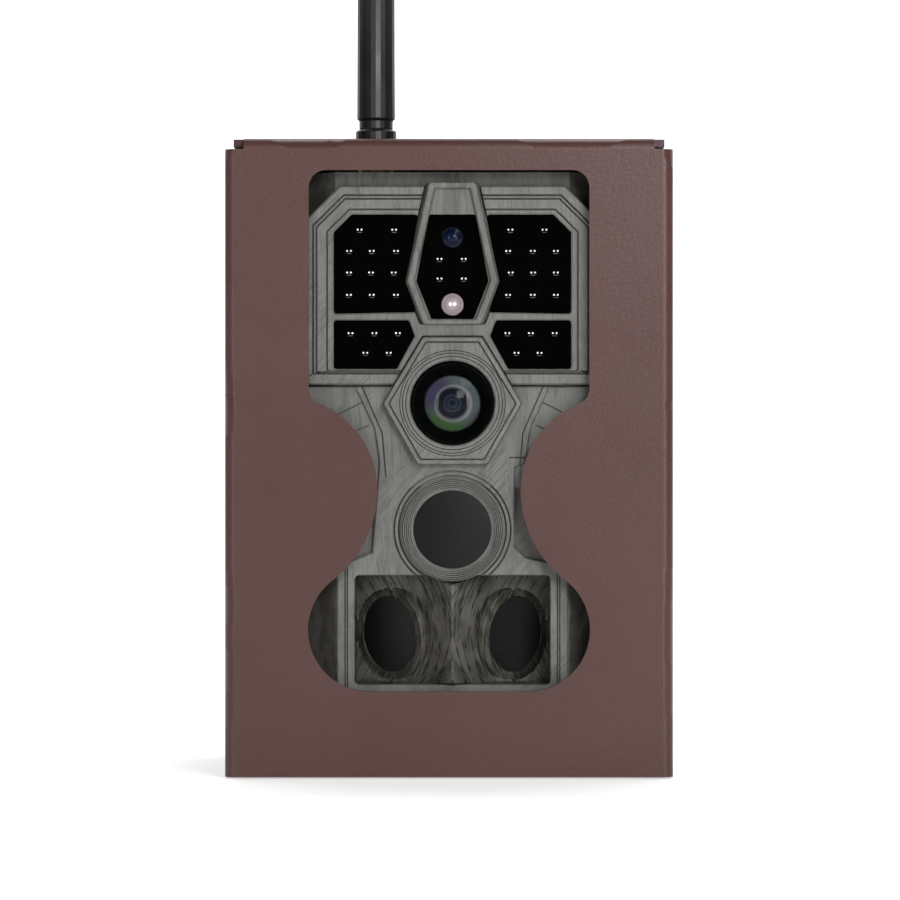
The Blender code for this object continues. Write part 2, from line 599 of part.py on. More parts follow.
def lens_group(plastic, dark, clear, board, bright):
    bezel = make("lens_bezel", prism(hexagon_outline(), FACE - 5, FACE - 0.5, "Y"), plastic)
    combine(bezel, "DIFFERENCE", rod((CAM_X, LENS_Z), LENS_HOOD + GAP, FACE - 6, FACE + 1, "Y", 32))
    at = (CAM_X, FACE, LENS_Z)
    seat = LENS_GLASS + GAP
    hood = [(LENS_HOOD, -4.6), (LENS_HOOD, 1.8), (seat, 1.8), (seat, -1.0), (seat + 2, -4.6)]
    make("lens_hood", turned(hood, at, "Y", ring=True, steps=32), dark)
    glass = [(0, -2.9), (2.6, -2.7), (5.2, -2.1), (LENS_GLASS, -1.1), (LENS_GLASS, 1), (0, 1)]
    make("lens_glass", turned(glass, at, "Y", steps=28), clear)
    neck = LENS_BARREL - 1.4
    barrel = [(5, 2.2), (LENS_BARREL, 2.2), (LENS_BARREL, 12), (neck, 12.6), (neck, 18), (5, 18)]
    make("lens_barrel", turned(barrel, at, "Y", ring=True), dark)
    start = (CAM_X, FACE + 18.5, LENS_Z)
    plate = block((CAM_X - 7, CAM_X + 7), (FACE + 18.5, FACE + 19.5), (LENS_Z - 6, LENS_Z + 6))
    make("ir_cut_filter", plate, bright, start)
    plate = block((CAM_X - 13, CAM_X + 13), (FACE + 21, FACE + 22.6), (PIR_Z - 11, LENS_Z + 14.5))
    circuit = make("sensor_board", plate, board)
    chip = block((CAM_X - 4, CAM_X + 4), (FACE + 20.1, FACE + 21.5), (LENS_Z - 3.5, LENS_Z + 3.5))
    combine(circuit, "UNION", chip)


def domed(radius, foot, rise):
    """Profile of a domed lens: a low rim and a spherical front, from its back face at foot."""
    ball = (radius**2 + rise**2) / (2 * rise)
    steps = [math.asin(radius / ball) * i / 5 for i in range(6)]
    front = [(ball * math.sin(a), foot - 1.4 - rise + ball * (1 - math.cos(a))) for a in steps]
    return [(0.0, front[0][1]), *front[1:], (radius, foot), (0.0, foot)]


def sensors(plastic, dark, can):
    at = (CAM_X, FACE, PIR_Z)
    bore = PIR_LENS + GAP
    ring = [(bore, -3), (PIR_RING - 1, -3), (PIR_RING, -2), (PIR_RING, -0.5), (bore, -0.5)]
    make("pir_ring", turned(ring, at, "Y", ring=True, steps=36), plastic)
    make("pir_lens_front", turned(domed(PIR_LENS, -0.5, 0.9), at, "Y", steps=32), dark)
    flange = SENSOR_CAN + 0.5
    capsule = [(0, 0), (SENSOR_CAN, 0), (SENSOR_CAN, 3.6), (flange, 3.6), (flange, 4.2), (0, 4.2)]
    make("pir_sensor_front", turned(capsule, (CAM_X, FACE + 16.5, PIR_Z), "Y", steps=20), can)

    run = math.tan(SIDE_YAW)
    half = POCKET_HALF - RUN
    low, high = POCKET_BOTTOM + GAP, PIR_Z - PIR_RING - GAP
    tip, foot = (CAM_X, RIDGE), RIDGE + half * run
    outline = [tip, (CAM_X + half, foot), (CAM_X - half, foot)]
    prow = make("sensor_block", prism(outline, low, high), plastic)
    hollow = [(x, y + 3.2) for x, y in outline]
    combine(prow, "DIFFERENCE", prism(hollow, low + 2, high - 2))
    lens_z = POCKET_BOTTOM + SIDE_LENS_RISE
    eyes = []
    for side, word in ((-1, "left"), (1, "right")):
        at = Vector((CAM_X + side * SIDE_LENS_X, RIDGE + SIDE_LENS_X * run, lens_z))
        turn = Matrix.Translation(at) @ Matrix.Rotation(side * SIDE_YAW, 4, "Z")
        lens = turned(domed(SIDE_LENS, -GAP, 0.8), (0, 0, 0), "Y", steps=28)
        lens.transform(turn)
        make(f"pir_lens_{word}", lens, dark)
        eye = rod((0, 0), SIDE_LENS - 2, -2, 6, "Y")
        eye.transform(turn)
        eyes.append(eye)
        cap = turned(capsule, (0, 7, 0), "Y", steps=20)
        cap.transform(turn)
        make(f"pir_sensor_{word}", cap, can)
    for eye in eyes:
        combine(prow, "DIFFERENCE", eye)
    back = RIDGE + 11.6 / math.cos(SIDE_YAW)
    deep = 1.6 / math.cos(SIDE_YAW)
    reach, drop = 13.0, 13.0 * run
    plate = [(CAM_X, back), (CAM_X + reach, back + drop), (CAM_X + reach, back + deep + drop)]
    plate += [(CAM_X, back + deep), (CAM_X - reach, back + deep + drop), (CAM_X - reach, back + drop)]
    make("pir_bracket", prism(plate, lens_z - 7, lens_z + 7), plastic)


def electronics(board, plastic, dark, glass, label):
    under = BOARD_BACK - 1
    thick = (BOARD_BACK - 1.6, BOARD_BACK)
    main = make("main_board", block((CAM_LEFT + 6, CAM_RIGHT - 6), thick, (CAM_BASE + 9, CAM_TOP - 8)), board)
    radio = block((CAM_X - 32, CAM_X - 4), (under - 3.6, under), (CAM_TOP - 38, CAM_TOP - 14))
    chip = block((CAM_X + 6, CAM_X + 20), (under - 2.2, under), (CAM_TOP - 64, CAM_TOP - 50))
    combine(main, "UNION", radio, chip)

    half = CAM_WIDTH / 2 - WALL - RUN
    outline = rectangle(CAM_X - half, CAM_X + half, CAM_BASE + WALL + RUN, CAM_TOP - WALL - RUN)
    panel = make("control_panel", prism(outline, PANEL_FRONT, PANEL_FRONT + PANEL, "Y"), plastic)
    lcd_z = CAM_TOP - 42
    wide, tall = LCD[0] / 2, LCD[1] / 2
    screen = rectangle(CAM_X - wide, CAM_X + wide, lcd_z - tall, lcd_z + tall)
    make("lcd_screen", prism(screen, PANEL_FRONT - 2.4, PANEL_FRONT + PANEL - 0.3, "Y"), glass)
    pad_z = lcd_z - 41
    places = {"ok": (0, 0), "up": (0, 1), "down": (0, -1), "left": (1, 0), "right": (-1, 0)}
    holes = [prism(grown(screen, GAP), PANEL_FRONT - 1, PANEL_FRONT + PANEL + 1, "Y")]
    for word, (x, z) in places.items():
        centre = (CAM_X + x * BUTTON_PITCH, pad_z + z * BUTTON_PITCH)
        holes.append(rod(centre, BUTTON + RUN, PANEL_FRONT - 1, PANEL_FRONT + PANEL + 1, "Y", 20))
        rim = BUTTON + 0.9
        cap = [(0, -2.4), (rim, -2.4), (rim, -1.4), (BUTTON, -1.4), (BUTTON, 2.7)]
        cap += [(BUTTON - 0.4, 3.1), (0, 3.1)]
        at = (centre[0], PANEL_FRONT, centre[1])
        make(f"button_{word}", turned(cap, at, "Y", steps=20), dark, at)
    knob_x, knob_z = CAM_X + 34, pad_z
    slot = rectangle(knob_x - 11.0, knob_x + 3.0, knob_z - 2.5, knob_z + 2.5)
    holes.append(prism(slot, PANEL_FRONT - 1, PANEL_FRONT + PANEL + 1, "Y"))
    card_x, card_z = CAM_X + 26, CAM_BASE + 16
    bay = rectangle(card_x - 14, card_x + 14, CAM_BASE + 7, card_z + 9)
    holes.append(prism(bay, PANEL_FRONT - 1, PANEL_FRONT + PANEL + 1, "Y"))
    combine(panel, "DIFFERENCE", *holes)

    start = (knob_x, PANEL_FRONT, knob_z)
    thick = (PANEL_FRONT - 1.6, PANEL_FRONT - 0.5)
    foot = block((knob_x - 5, knob_x + 5), thick, (knob_z - 4, knob_z + 4))
    knob = make("power_switch", foot, dark, start)
    tall = (PANEL_FRONT - 1, PANEL_FRONT + PANEL + 1)
    stem = block((knob_x - 2.5, knob_x + 2.5), tall, (knob_z - 2, knob_z + 2))
    combine(knob, "UNION", stem)
    left, right, end = card_x - 12, card_x + 12, card_z + 32
    corner = [(left, card_z), (right, card_z), (right, end), (left + 4, end), (left, end - 4)]
    card = prism(corner, PANEL_FRONT - 2.7, PANEL_FRONT - 0.6, "Y")
    make("sd_card", card, label, (card_x, PANEL_FRONT - 1.6, card_z))


def antenna(dark, brass, lead):
    top = CAM_TOP
    under, screw = top - WALL - GAP, CONNECTOR
    neck = [(0, top - 9), (1.6, top - 9), (1.6, top - 5.5), (4.4, top - 5.5), (4.4, under), (screw, under)]
    neck += [(screw, top + GAP), (4.6, top + GAP), (4.6, top + 2.1), (screw, top + 2.1)]
    neck += [(screw, top + 7.5), (0, top + 7.5)]
    make("antenna_connector", turned(neck, (*ANTENNA, 0)), brass)
    low = top + 2.5
    bore = CONNECTOR + GAP
    collar = [(0, low + 5.8), (bore, low + 5.8), (bore, low), (COLLAR - 0.4, low), (COLLAR, low + 0.4)]
    collar += [(COLLAR, low + 9.4), (COLLAR - 0.4, low + 9.8), (0, low + 9.8)]
    make("antenna_base", turned(collar, (*ANTENNA, 0)), dark, (*ANTENNA, low))
    foot = low + 9.8 + GAP
    tip = foot + ANTENNA_RISE
    mast = [(0, foot), (MAST - 0.6, foot), (MAST - 0.6, foot + 2.2), (MAST, foot + 2.8)]
    mast += [(MAST - 0.3, tip - 3), (MAST - 0.9, tip - 1.6), (MAST - 2.6, tip - 0.5), (0, tip)]
    make("antenna_mast", turned(mast, (*ANTENNA, 0)), dark, (*ANTENNA, low))

    start = Vector((*ANTENNA, top - 9 - GAP))
    end = Vector((ANTENNA[0], BOARD_BACK - 4.6 - GAP - 0.7, top - 22))
    curve = bpy.data.curves.new("antenna_lead", "CURVE")
    curve.dimensions = "3D"
    curve.bevel_depth = 0.6 * MM
    curve.bevel_resolution = 2
    curve.use_fill_caps = True
    spline = curve.splines.new("POLY")
    count = 16
    spline.points.add(count - 1)
    bend = Vector((ANTENNA[0], ANTENNA[1], end.z))
    for i in range(count):
        t = i / (count - 1)
        point = start * (1 - t) ** 2 + bend * 2 * t * (1 - t) + end * t**2
        spline.points[i].co = (*(point * MM), 1)
    made = bpy.data.objects.new("antenna_lead", curve)
    made.data.materials.append(lead)
    bpy.context.scene.collection.objects.link(made)


def build():
    clear_scene()
    steel = material("powder_coated_steel", (0.11, 0.075, 0.07), 0.55)
    shell = material("bark_plastic", (0.15, 0.15, 0.14), 0.6)
    dark = material("black_plastic", (0.02, 0.02, 0.02), 0.4)
    window = material("infrared_window", (0.003, 0.003, 0.003), 0.1)
    clear = material("lens_glass", (0.05, 0.06, 0.08), 0.03)
    board = material("circuit_board", (0.02, 0.08, 0.04), 0.5)
    bright = material("zinc_steel", (0.6, 0.6, 0.58), 0.35, 1.0)
    brass = material("brass", (0.75, 0.55, 0.25), 0.3, 1.0)
    rubber = material("seal_rubber", (0.03, 0.03, 0.03), 0.8)
    cell = material("cell_jacket", (0.03, 0.05, 0.12), 0.35)
    inner = material("inner_plastic", (0.05, 0.05, 0.05), 0.55)
    label = material("card_plastic", (0.04, 0.06, 0.15), 0.4)

    box_cover(steel)
    box_tray(steel)
    box_fittings(steel, bright)
    rear_half(shell, rubber, brass, bright)
    batteries(inner, cell)
    latches(shell)
    front_shell(shell)
    frame_and_windows(shell, window)
    led_array(board, window, clear)
    lens_group(shell, dark, clear, board, bright)
    sensors(shell, dark, bright)
    electronics(board, inner, dark, window, label)
    antenna(dark, brass, dark)


build()
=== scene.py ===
"""Looks of a trail camera locked in a bent-sheet steel box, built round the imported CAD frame.

Points are in millimetres in the frame's own axes, and piece() turns them into metres: X is right, Y is
back, Z is up, and the lens looks along -Y. Outlines are (x, z) seen from the front.
"""

import math

import bmesh
import bpy
from mathutils import Matrix, Vector
from mathutils.bvhtree import BVHTree


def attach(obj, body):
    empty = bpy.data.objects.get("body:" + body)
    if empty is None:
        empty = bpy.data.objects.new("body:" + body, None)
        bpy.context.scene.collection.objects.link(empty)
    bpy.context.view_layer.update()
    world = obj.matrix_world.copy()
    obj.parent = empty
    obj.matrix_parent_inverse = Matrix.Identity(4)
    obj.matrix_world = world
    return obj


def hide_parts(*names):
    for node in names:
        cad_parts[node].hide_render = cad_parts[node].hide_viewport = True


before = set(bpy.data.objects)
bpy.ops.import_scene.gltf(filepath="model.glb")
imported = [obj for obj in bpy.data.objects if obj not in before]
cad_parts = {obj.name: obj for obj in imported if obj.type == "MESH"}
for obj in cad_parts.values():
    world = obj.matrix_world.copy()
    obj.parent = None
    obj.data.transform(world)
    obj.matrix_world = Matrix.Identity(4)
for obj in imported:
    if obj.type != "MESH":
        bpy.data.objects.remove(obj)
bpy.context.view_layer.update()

# Steel cover: one laser-cut blank of 2 mm mild steel, folded down both sides and over the top, with the
# window cut before folding and two tongues rolled into hinge knuckles. It is powder coated in a
# mottled brown, with a fine orange-peel grain.

MM = 0.001
STEEL, FOLD = 2.0, 3.0
ARC = FOLD * math.pi / 2
FRONT, BACK, SIDE, HIGH, SPLIT = -46.0, 46.0, 59.0, 168.0, 12.0
NOTCH, LID, SIDE_TOP = 54.0, 56.9, 165.1
KNUCKLES = [(4.2 + 31.5 * i, 35.3 + 31.5 * i) for i in range(5)]
PIN_X, ROLL, BORE = -56.5, 2.4, 1.35


def arc(centre, radius, start, end, steps):
    angles = [math.radians(start + (end - start) * i / steps) for i in range(steps + 1)]
    return [(centre[0] + radius * math.cos(a), centre[1] + radius * math.sin(a)) for a in angles]


def rounded(left, right, low, high, radius, steps=6):
    corners = [(right - radius, high - radius), (left + radius, high - radius)]
    corners += [(left + radius, low + radius), (right - radius, low + radius)]
    return [p for i, c in enumerate(corners) for p in arc(c, radius, 90 * i, 90 * i + 90, steps)]


def mirrored(points, middle=0.0):
    return [(2 * middle - x, z) for x, z in reversed(points)]


def placed(points, side):
    """An outline (x, z) as points on a plane facing the front, at that y."""
    return [Vector((x, side, z)) for x, z in points]


def loft(rings, ring=False):
    """A closed solid through rings of points, capped at both ends or joined into a ring."""
    bm = bmesh.new()
    rows = [[bm.verts.new(p) for p in points] for points in rings]
    for a, b in zip(rows, rows[1:] + rows[:1] if ring else rows[1:]):
        for i in range(len(a)):
            j = (i + 1) % len(a)
            bm.faces.new((a[i], a[j], b[j], b[i]))
    if not ring:
        bm.faces.new(rows[0])
        bm.faces.new(rows[-1])
    bmesh.ops.recalc_face_normals(bm, faces=bm.faces)
    return bm


def joined(*solids):
    bm = bmesh.new()
    for solid in solids:
        mesh = bpy.data.meshes.new("part")
        solid.to_mesh(mesh)
        bm.from_mesh(mesh)
        bpy.data.meshes.remove(mesh)
    return bm


def evaluated(bm, *modifiers, name="part"):
    """The mesh with modifiers of (kind, settings) applied."""
    mesh = bpy.data.meshes.new(name)
    bm.to_mesh(mesh)
    made = bpy.data.objects.new(name, mesh)
    bpy.context.scene.collection.objects.link(made)
    for kind, settings in modifiers:
        modifier = made.modifiers.new(kind, kind)
        for key, value in settings.items():
            setattr(modifier, key, value)
    graph = bpy.context.evaluated_depsgraph_get()
    result = bpy.data.meshes.new_from_object(made.evaluated_get(graph))
    bpy.data.objects.remove(made)
    bpy.data.meshes.remove(mesh)
    return result


def cut(bm, *tools, how="DIFFERENCE"):
    """An exact Boolean with other solids."""
    for tool in tools:
        mesh = bpy.data.meshes.new("tool")
        tool.to_mesh(mesh)
        helper = bpy.data.objects.new("tool", mesh)
        bpy.context.scene.collection.objects.link(helper)
        result = evaluated(bm, ("BOOLEAN", {"operation": how, "object": helper, "solver": "EXACT"}))
        bpy.data.objects.remove(helper)
        bm = bmesh.new()
        bm.from_mesh(result)
        bpy.data.meshes.remove(result)
    return bm


def note_painted_groove_shade(mesh, reach=2.2):
    """Stores how shut in each face is, from 0 in the open to 1 deep in a groove, for painted shade in grooves.
    """
    bm = bmesh.new()
    bm.from_mesh(mesh)
    tree = BVHTree.FromBMesh(bm)
    bm.free()
    leans, around = (25, 50, 72), 7
    spokes = [(lean, math.tau * (i + lean / 90) / around) for lean in leans for i in range(around)]
    shut = []
    for face in mesh.polygons:
        normal = face.normal
        side = normal.orthogonal().normalized()
        other = normal.cross(side)
        hits = 0.0
        for lean, turn in spokes:
            along = side * math.cos(turn) + other * math.sin(turn)
            ray = normal * math.cos(math.radians(lean)) + along * math.sin(math.radians(lean))
            far = tree.ray_cast(face.center + normal * 0.01, ray, reach)[3]
            hits += 1 - far / reach if far is not None else 0
        shut.append(hits / len(spokes))
    mesh.attributes.new("cavity", "FLOAT", "FACE").data.foreach_set("value", shut)


def piece(name, bm, body, slot, look, replaces=(), edge=0.0, crease=32, sheet=0.0, painted_groove_shade=False):
    """A finished piece that rides on a body, its edges eased by a small bevel."""
    stack = []
    if sheet:
        stack.append(("SOLIDIFY", {"thickness": sheet, "offset": -1, "use_even_offset": True}))
    if edge:
        limit = {"limit_method": "ANGLE", "angle_limit": math.radians(crease)}
        stack.append(("BEVEL", {"width": edge, "segments": 2, **limit}))
    mesh = evaluated(bm, *stack, name=name)
    mesh.shade_smooth()
    mesh.set_sharp_from_angle(angle=math.radians(crease))
    bm = bmesh.new()
    bm.from_mesh(mesh)
    mesh = evaluated(bm, ("WEIGHTED_NORMAL", {"weight": 100, "keep_sharp": True}), name=name)
    mesh.name = name
    # Painted shade: stores how shut in each face is, so that its look darkens faces in grooves and hollows.
    if painted_groove_shade:
        note_painted_groove_shade(mesh)
    mesh.transform(Matrix.Scale(MM, 4))
    mesh.materials.clear()
    mesh.materials.append(look)
    made = bpy.data.objects.new(name, mesh)
    bpy.context.scene.collection.objects.link(made)
    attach(made, body)
    if replaces:
        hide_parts(*replaces)
    return made


def is_socket(value):
    return isinstance(value, bpy.types.NodeSocket)


def set_inputs(made, inputs):
    """Links each socket and sets each plain value. i0, i1 name inputs by their place."""
    for key, value in inputs.items():
        socket = made.inputs[int(key[1:]) if key[1:].isdigit() else key.replace("_", " ")]
        if is_socket(value):
            made.id_data.links.new(value, socket)
        else:
            socket.default_value = value


def node(kind, settings=None, **inputs):
    """A shader node in the tree that its linked inputs come from."""
    tree = next(value for value in inputs.values() if is_socket(value)).id_data
    made = tree.nodes.new("ShaderNode" + kind)
    for key, value in (settings or {}).items():
        setattr(made, key, value)
    set_inputs(made, inputs)
    return made


def maths(operation, *values):
    inputs = {f"i{place}": value for place, value in enumerate(values)}
    return node("Math", {"operation": operation}, **inputs).outputs[0]


def spread(value, low, high, to_low=0.0, to_high=1.0):
    """A value's range stretched to another, smoothly and held at its ends."""
    ends = {"From_Min": low, "From_Max": high, "To_Min": to_low, "To_Max": to_high}
    return node("MapRange", {"interpolation_type": "SMOOTHSTEP"}, Value=value, **ends).outputs[0]


def tint(factor, first, second):
    """Two colours mixed by a factor. Each is a socket or (red, green, blue)."""
    ends = [(*c, 1) if isinstance(c, tuple) else c for c in (first, second)]
    return node("Mix", {"data_type": "RGBA"}, i0=factor, i6=ends[0], i7=ends[1]).outputs[2]


def blend(value, low, high, first, second, most=1.0):
    """Two colours mixed where a value goes from low to high."""
    return tint(spread(value, low, high, 0.0, most), first, second)


def noise(where, scale, detail=3.0, rough=0.55, warp=0.0):
    shape = {"Scale": scale, "Detail": detail, "Roughness": rough, "Distortion": warp}
    return node("TexNoise", None, Vector=where, **shape).outputs["Fac"]


def new_look(name):
    made = bpy.data.materials.new(name)
    made.use_nodes = True
    nodes = made.node_tree.nodes
    where = nodes.new("ShaderNodeTexCoord").outputs["Object"]
    return made, nodes["Principled BSDF"], where


def finish_look(shader, colour, rough, height=None, depth=0.0, **others):
    """Gives a surface its colour, its roughness, a bump whose depth is in metres, and its other inputs."""
    set_inputs(shader, {"Base Color": colour, "Roughness": rough})
    if height is not None:
        bump = node("Bump", None, Strength=1.0, Distance=depth, Height=height)
        set_inputs(shader, {"Normal": bump.outputs[0]})
    set_inputs(shader, others)


def powder_coat(name, dark, light, fleck, rough=0.33):
    made, shader, where = new_look(name)
    clouds = noise(where, 16, 3, 0.5, 0.4)
    patches = noise(where, 70, 4, 0.6)
    grain = noise(where, 2300, 2, 0.6)
    peel = noise(where, 900, 2, 0.5)
    tone = blend(clouds, 0.3, 0.7, dark, light)
    tone = blend(patches, 0.45, 0.75, tone, dark, 0.3)
    tone = blend(grain, 0.45, 0.8, tone, fleck, 0.5)
    gloss = spread(patches, 0.3, 0.7, rough - 0.015, rough + 0.03)
    finish_look(shader, tone, gloss, maths("ADD", peel, grain), 0.000035, Specular_IOR_Level=0.42)
    return made


def folded(outer, holes, lines, fold):
    """A flat blank cut along its fold lines and bent into shape. Its outer side faces the front."""
    bm = bmesh.new()
    edges = []
    for loop in (outer, *holes):
        verts = [bm.verts.new((u, 0, v)) for u, v in loop]
        edges += [bm.edges.new((a, b)) for a, b in zip(verts, verts[1:] + verts[:1])]
    bmesh.ops.triangle_fill(bm, edges=edges, use_beauty=True, normal=(0, -1, 0))
    for place, normal in lines:
        everything = [*bm.verts, *bm.edges, *bm.faces]
        bmesh.ops.bisect_plane(bm, geom=everything, dist=0.0001, plane_co=place, plane_no=normal)
    if bm.faces[:][0].normal.y > 0:
        bmesh.ops.reverse_faces(bm, faces=bm.faces)
    for vert in bm.verts:
        vert.co = fold(vert.co.x, vert.co.z)
    return bm


def bend(distance):
    """How far a point that far past a fold line lies along the panel and across it."""
    angle = min(max(distance, 0) / FOLD, math.pi / 2)
    beyond = max(distance - ARC, 0)
    return FOLD * math.sin(angle), FOLD * (1 - math.cos(angle)) + beyond


def fold_steps(line, side, count=8):
    return [line + side * ARC * i / count for i in range(count + 1)]


def window_outline():
    """Right half from the top middle down: corner, side, shoulder, waist and the round lower lobe."""
    side, top, corner, shoulder = 36.9, 159.6, 4.6, 4.0
    waist, waist_x, waist_z = 24.5, 43.35, 75.5
    lobe, lobe_x, lobe_z = 16.3, 20.75, 38.75
    across = waist_x - (side - shoulder)
    rise = math.sqrt((waist + shoulder) ** 2 - across**2)
    turn = math.degrees(math.atan2(-rise, across))
    drop, step = waist_z - lobe_z, lobe_x - (waist_x - waist)
    hip = (drop**2 + step**2 - lobe**2) / (2 * (lobe + step))
    hip_turn = math.degrees(math.atan2(-drop, step - hip))
    right = arc((side - corner, top - corner), corner, 90, 0, 12)
    right += arc((side - shoulder, waist_z + rise), shoulder, 0, turn, 8)
    right += arc((waist_x, waist_z), waist, 180 + turn, 180, 24)[1:]
    right += arc((waist_x - waist + hip, waist_z), hip, 180, 360 + hip_turn, 20)[1:]
    right += arc((lobe_x, lobe_z), lobe, 180 + hip_turn, -90, 34)[1:]
    return right + mirrored(right)


def cover_fold(u, v):
    if v > HIGH - FOLD and (abs(u) <= NOTCH + 0.01 or v > HIGH + 2):
        up, back = bend(v - HIGH + FOLD)
        return Vector((u, FRONT + back, HIGH - FOLD + up))
    out, back = bend(abs(u) - SIDE + FOLD)
    x = math.copysign(SIDE - FOLD + out, u) if abs(u) > SIDE - FOLD else u
    return Vector((x, FRONT + back, v))


def knuckle(place, turn):
    """A tongue rolled round the hinge pin: turn 1 curls back from the cover, -1 forwards from the tray."""
    outer = arc((0, 0), ROLL, 180, -105, 28)
    inner = arc((0, 0), BORE, -105, 222, 30)
    profile = [(-1.0, -3.4), (-ROLL, -3.4), *outer, *inner]
    outline = [(x + PIN_X, turn * y + SPLIT) for x, y in profile]
    return loft([[Vector((x, y, z)) for x, y in outline] for z in KNUCKLES[place]])


brown = powder_coat("powder_coat_brown", (0.069, 0.027, 0.022), (0.079, 0.033, 0.028), (0.103, 0.052, 0.047))
flank = SIDE - FOLD + ARC  # where a side starts, along the blank
near = -FRONT - FOLD  # along a folded side or top, from its bend to y 0
right_end = flank + BACK + near
left_end = -(flank + SPLIT - 3.5 + near)
crown = HIGH - FOLD + ARC
top_end = crown + BACK + near
outer = [(right_end, 0.0), (right_end, SIDE_TOP), (NOTCH, SIDE_TOP), (NOTCH, crown + 3), (LID, crown + 3)]
outer += [(LID, top_end), (-LID, top_end), (-LID, crown + 3), (-NOTCH, crown + 3), (-NOTCH, SIDE_TOP)]
outer += [(left_end, SIDE_TOP)]
for low, high in (KNUCKLES[3], KNUCKLES[1]):
    outer += [(left_end, high), (left_end - 0.2, high), (left_end - 0.2, low), (left_end, low)]
outer += [(left_end, 0.0)]
lock = arc((flank + 37.5 + near, 84.0), 6.0, 0, 360, 40)[:-1]
swing = rounded(-31.8, -13.1, crown - 26.5 + near, crown - 7.8 + near, 6.4, 8)
lines = [((u, 0, 0), (1, 0, 0)) for s in (-1, 1) for u in fold_steps(s * (SIDE - FOLD), s)]
lines += [((0, 0, v), (0, 0, 1)) for v in fold_steps(HIGH - FOLD, 1)]
cover = folded(outer, [window_outline(), lock, swing], lines, cover_fold)
piece("cover_sheet", cover, "cover", "powder_coated_steel", brown, ["box_cover"], 0.3, sheet=STEEL)
rolls = joined(*(knuckle(place, 1) for place in (1, 3)))
piece("cover_knuckles", rolls, "cover", "powder_coated_steel", brown, edge=0.12)

# Steel tray: the rear half of the box, folded from one blank, with a floor, two sides, rolled knuckles and
# punched slots for a strap, lag screws and a padlock. It has the cover's powder coat.


TRAY_LEFT, TRAY_RIGHT = 56.0, 53.5  # fold lines either side of the blank's middle


def tray_fold(u, v):
    """The blank is laid out as seen from behind, so u runs against x."""
    if v < FOLD and -53.3 < u < 55.7 or v < -1.7:
        down, forward = bend(FOLD - v)
        return Vector((-u, BACK - forward, FOLD - down))
    line = TRAY_LEFT if u > 0 else TRAY_RIGHT
    out, forward = bend(abs(u) - line)
    x = math.copysign(line + out, u) if abs(u) > line else u
    return Vector((-x, BACK - forward, v))


left_end, right_end = TRAY_LEFT + ARC + 27.5, -(TRAY_RIGHT + ARC + 19.0)
outer = [(-54.3, -32.7), (56.8, -32.7), (56.8, -1.8), (55.6, -1.8), (55.6, 4.0), (56.4, 4.0), (56.4, 0.0)]
outer += [(left_end, 0.0)]
for i in (0, 2, 4):
    low, high = KNUCKLES[i]
    outer += [(left_end, low), (left_end + 0.2, low), (left_end + 0.2, high), (left_end, high)]
outer += [(left_end, 165.5), (right_end, 165.5), (right_end, 0.0), (-53.9, 0.0), (-53.9, 4.0)]
outer += [(-53.1, 4.0), (-53.1, -1.8), (-54.3, -1.8)]
holes = [rounded(x - 4, x + 4, 54, 114, 3) for x in (-38, 38)]
holes += [arc((0, z), 3.5, 0, 360, 24)[:-1] for z in (28, 140)]
holes += [arc((u, 84), 6.0, 0, 360, 40)[:-1] for u in (left_end - 22.0, right_end + 13.5)]
holes.append(arc((-0.9, FOLD - ARC - 22.5), 6.5, 0, 360, 36)[:-1])
lines = [((u, 0, 0), (1, 0, 0)) for u in fold_steps(TRAY_LEFT, 1) + fold_steps(-TRAY_RIGHT, -1)]
lines += [((0, 0, v), (0, 0, 1)) for v in fold_steps(FOLD, -1)]
tray = folded(outer, holes, lines, tray_fold)
piece("tray_sheet", tray, "box", "powder_coated_steel", brown, ["box_tray"], 0.22, sheet=STEEL)
rolls = joined(*(knuckle(place, -1) for place in (0, 2, 4)))
piece("tray_knuckles", rolls, "box", "powder_coated_steel", brown, edge=0.12)

# Fittings: a zinc-plated pin through the knuckles, a folded shelf under the camera in the box's own coat,
# and a tripod screw whose brass-plated head is knurled for fingers.

CAM_X = 0.9  # the camera's middle line


def eased(name, look, edge=0.2, crease=32):
    """A CAD node that keeps its shape, with its edges eased and its own finish."""
    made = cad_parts[name]
    made.data.materials.clear()
    made.data.materials.append(look)
    weld = made.modifiers.new("Weld", "WELD")
    weld.merge_threshold = 0.000002
    if edge:
        bevel = made.modifiers.new("Bevel", "BEVEL")
        bevel.width = edge * MM
        bevel.segments = 2
        bevel.limit_method = "ANGLE"
        bevel.angle_limit = math.radians(crease)
        made.modifiers.new("Normals", "WEIGHTED_NORMAL").keep_sharp = True


def turned(profile, at, along="Z", steps=48, ring=False, tilt=None):
    """A profile of (radius, height) turned about an axis through a point."""
    bm = bmesh.new()
    verts = [bm.verts.new((radius, 0, height)) for radius, height in profile]
    ends = verts[1:] + verts[:1] if ring else verts[1:]
    edges = [bm.edges.new(pair) for pair in zip(verts, ends)]
    turn = {"axis": (0, 0, 1), "cent": (0, 0, 0), "angle": math.tau}
    bmesh.ops.spin(bm, geom=verts + edges, steps=steps, **turn)
    bmesh.ops.remove_doubles(bm, verts=bm.verts, dist=0.0001)
    bmesh.ops.recalc_face_normals(bm, faces=bm.faces)
    if along == "Y":
        bm.transform(Matrix.Rotation(math.radians(-90), 4, "X"))
    if tilt:
        bm.transform(tilt)
    bm.transform(Matrix.Translation(at))
    return bm


def block(x, y, z):
    corners = [(x[0], y[0]), (x[1], y[0]), (x[1], y[1]), (x[0], y[1])]
    return loft([[Vector((a, b, height)) for a, b in corners] for height in z])


def ridge(half_width, rise, half_length):
    """A small upright ridge with a sharp edge to the right."""
    corners = [(0.0, -half_width), (rise, 0.0), (0.0, half_width)]
    return loft([[Vector((x, y, z)) for x, y in corners] for z in (-half_length, half_length)])


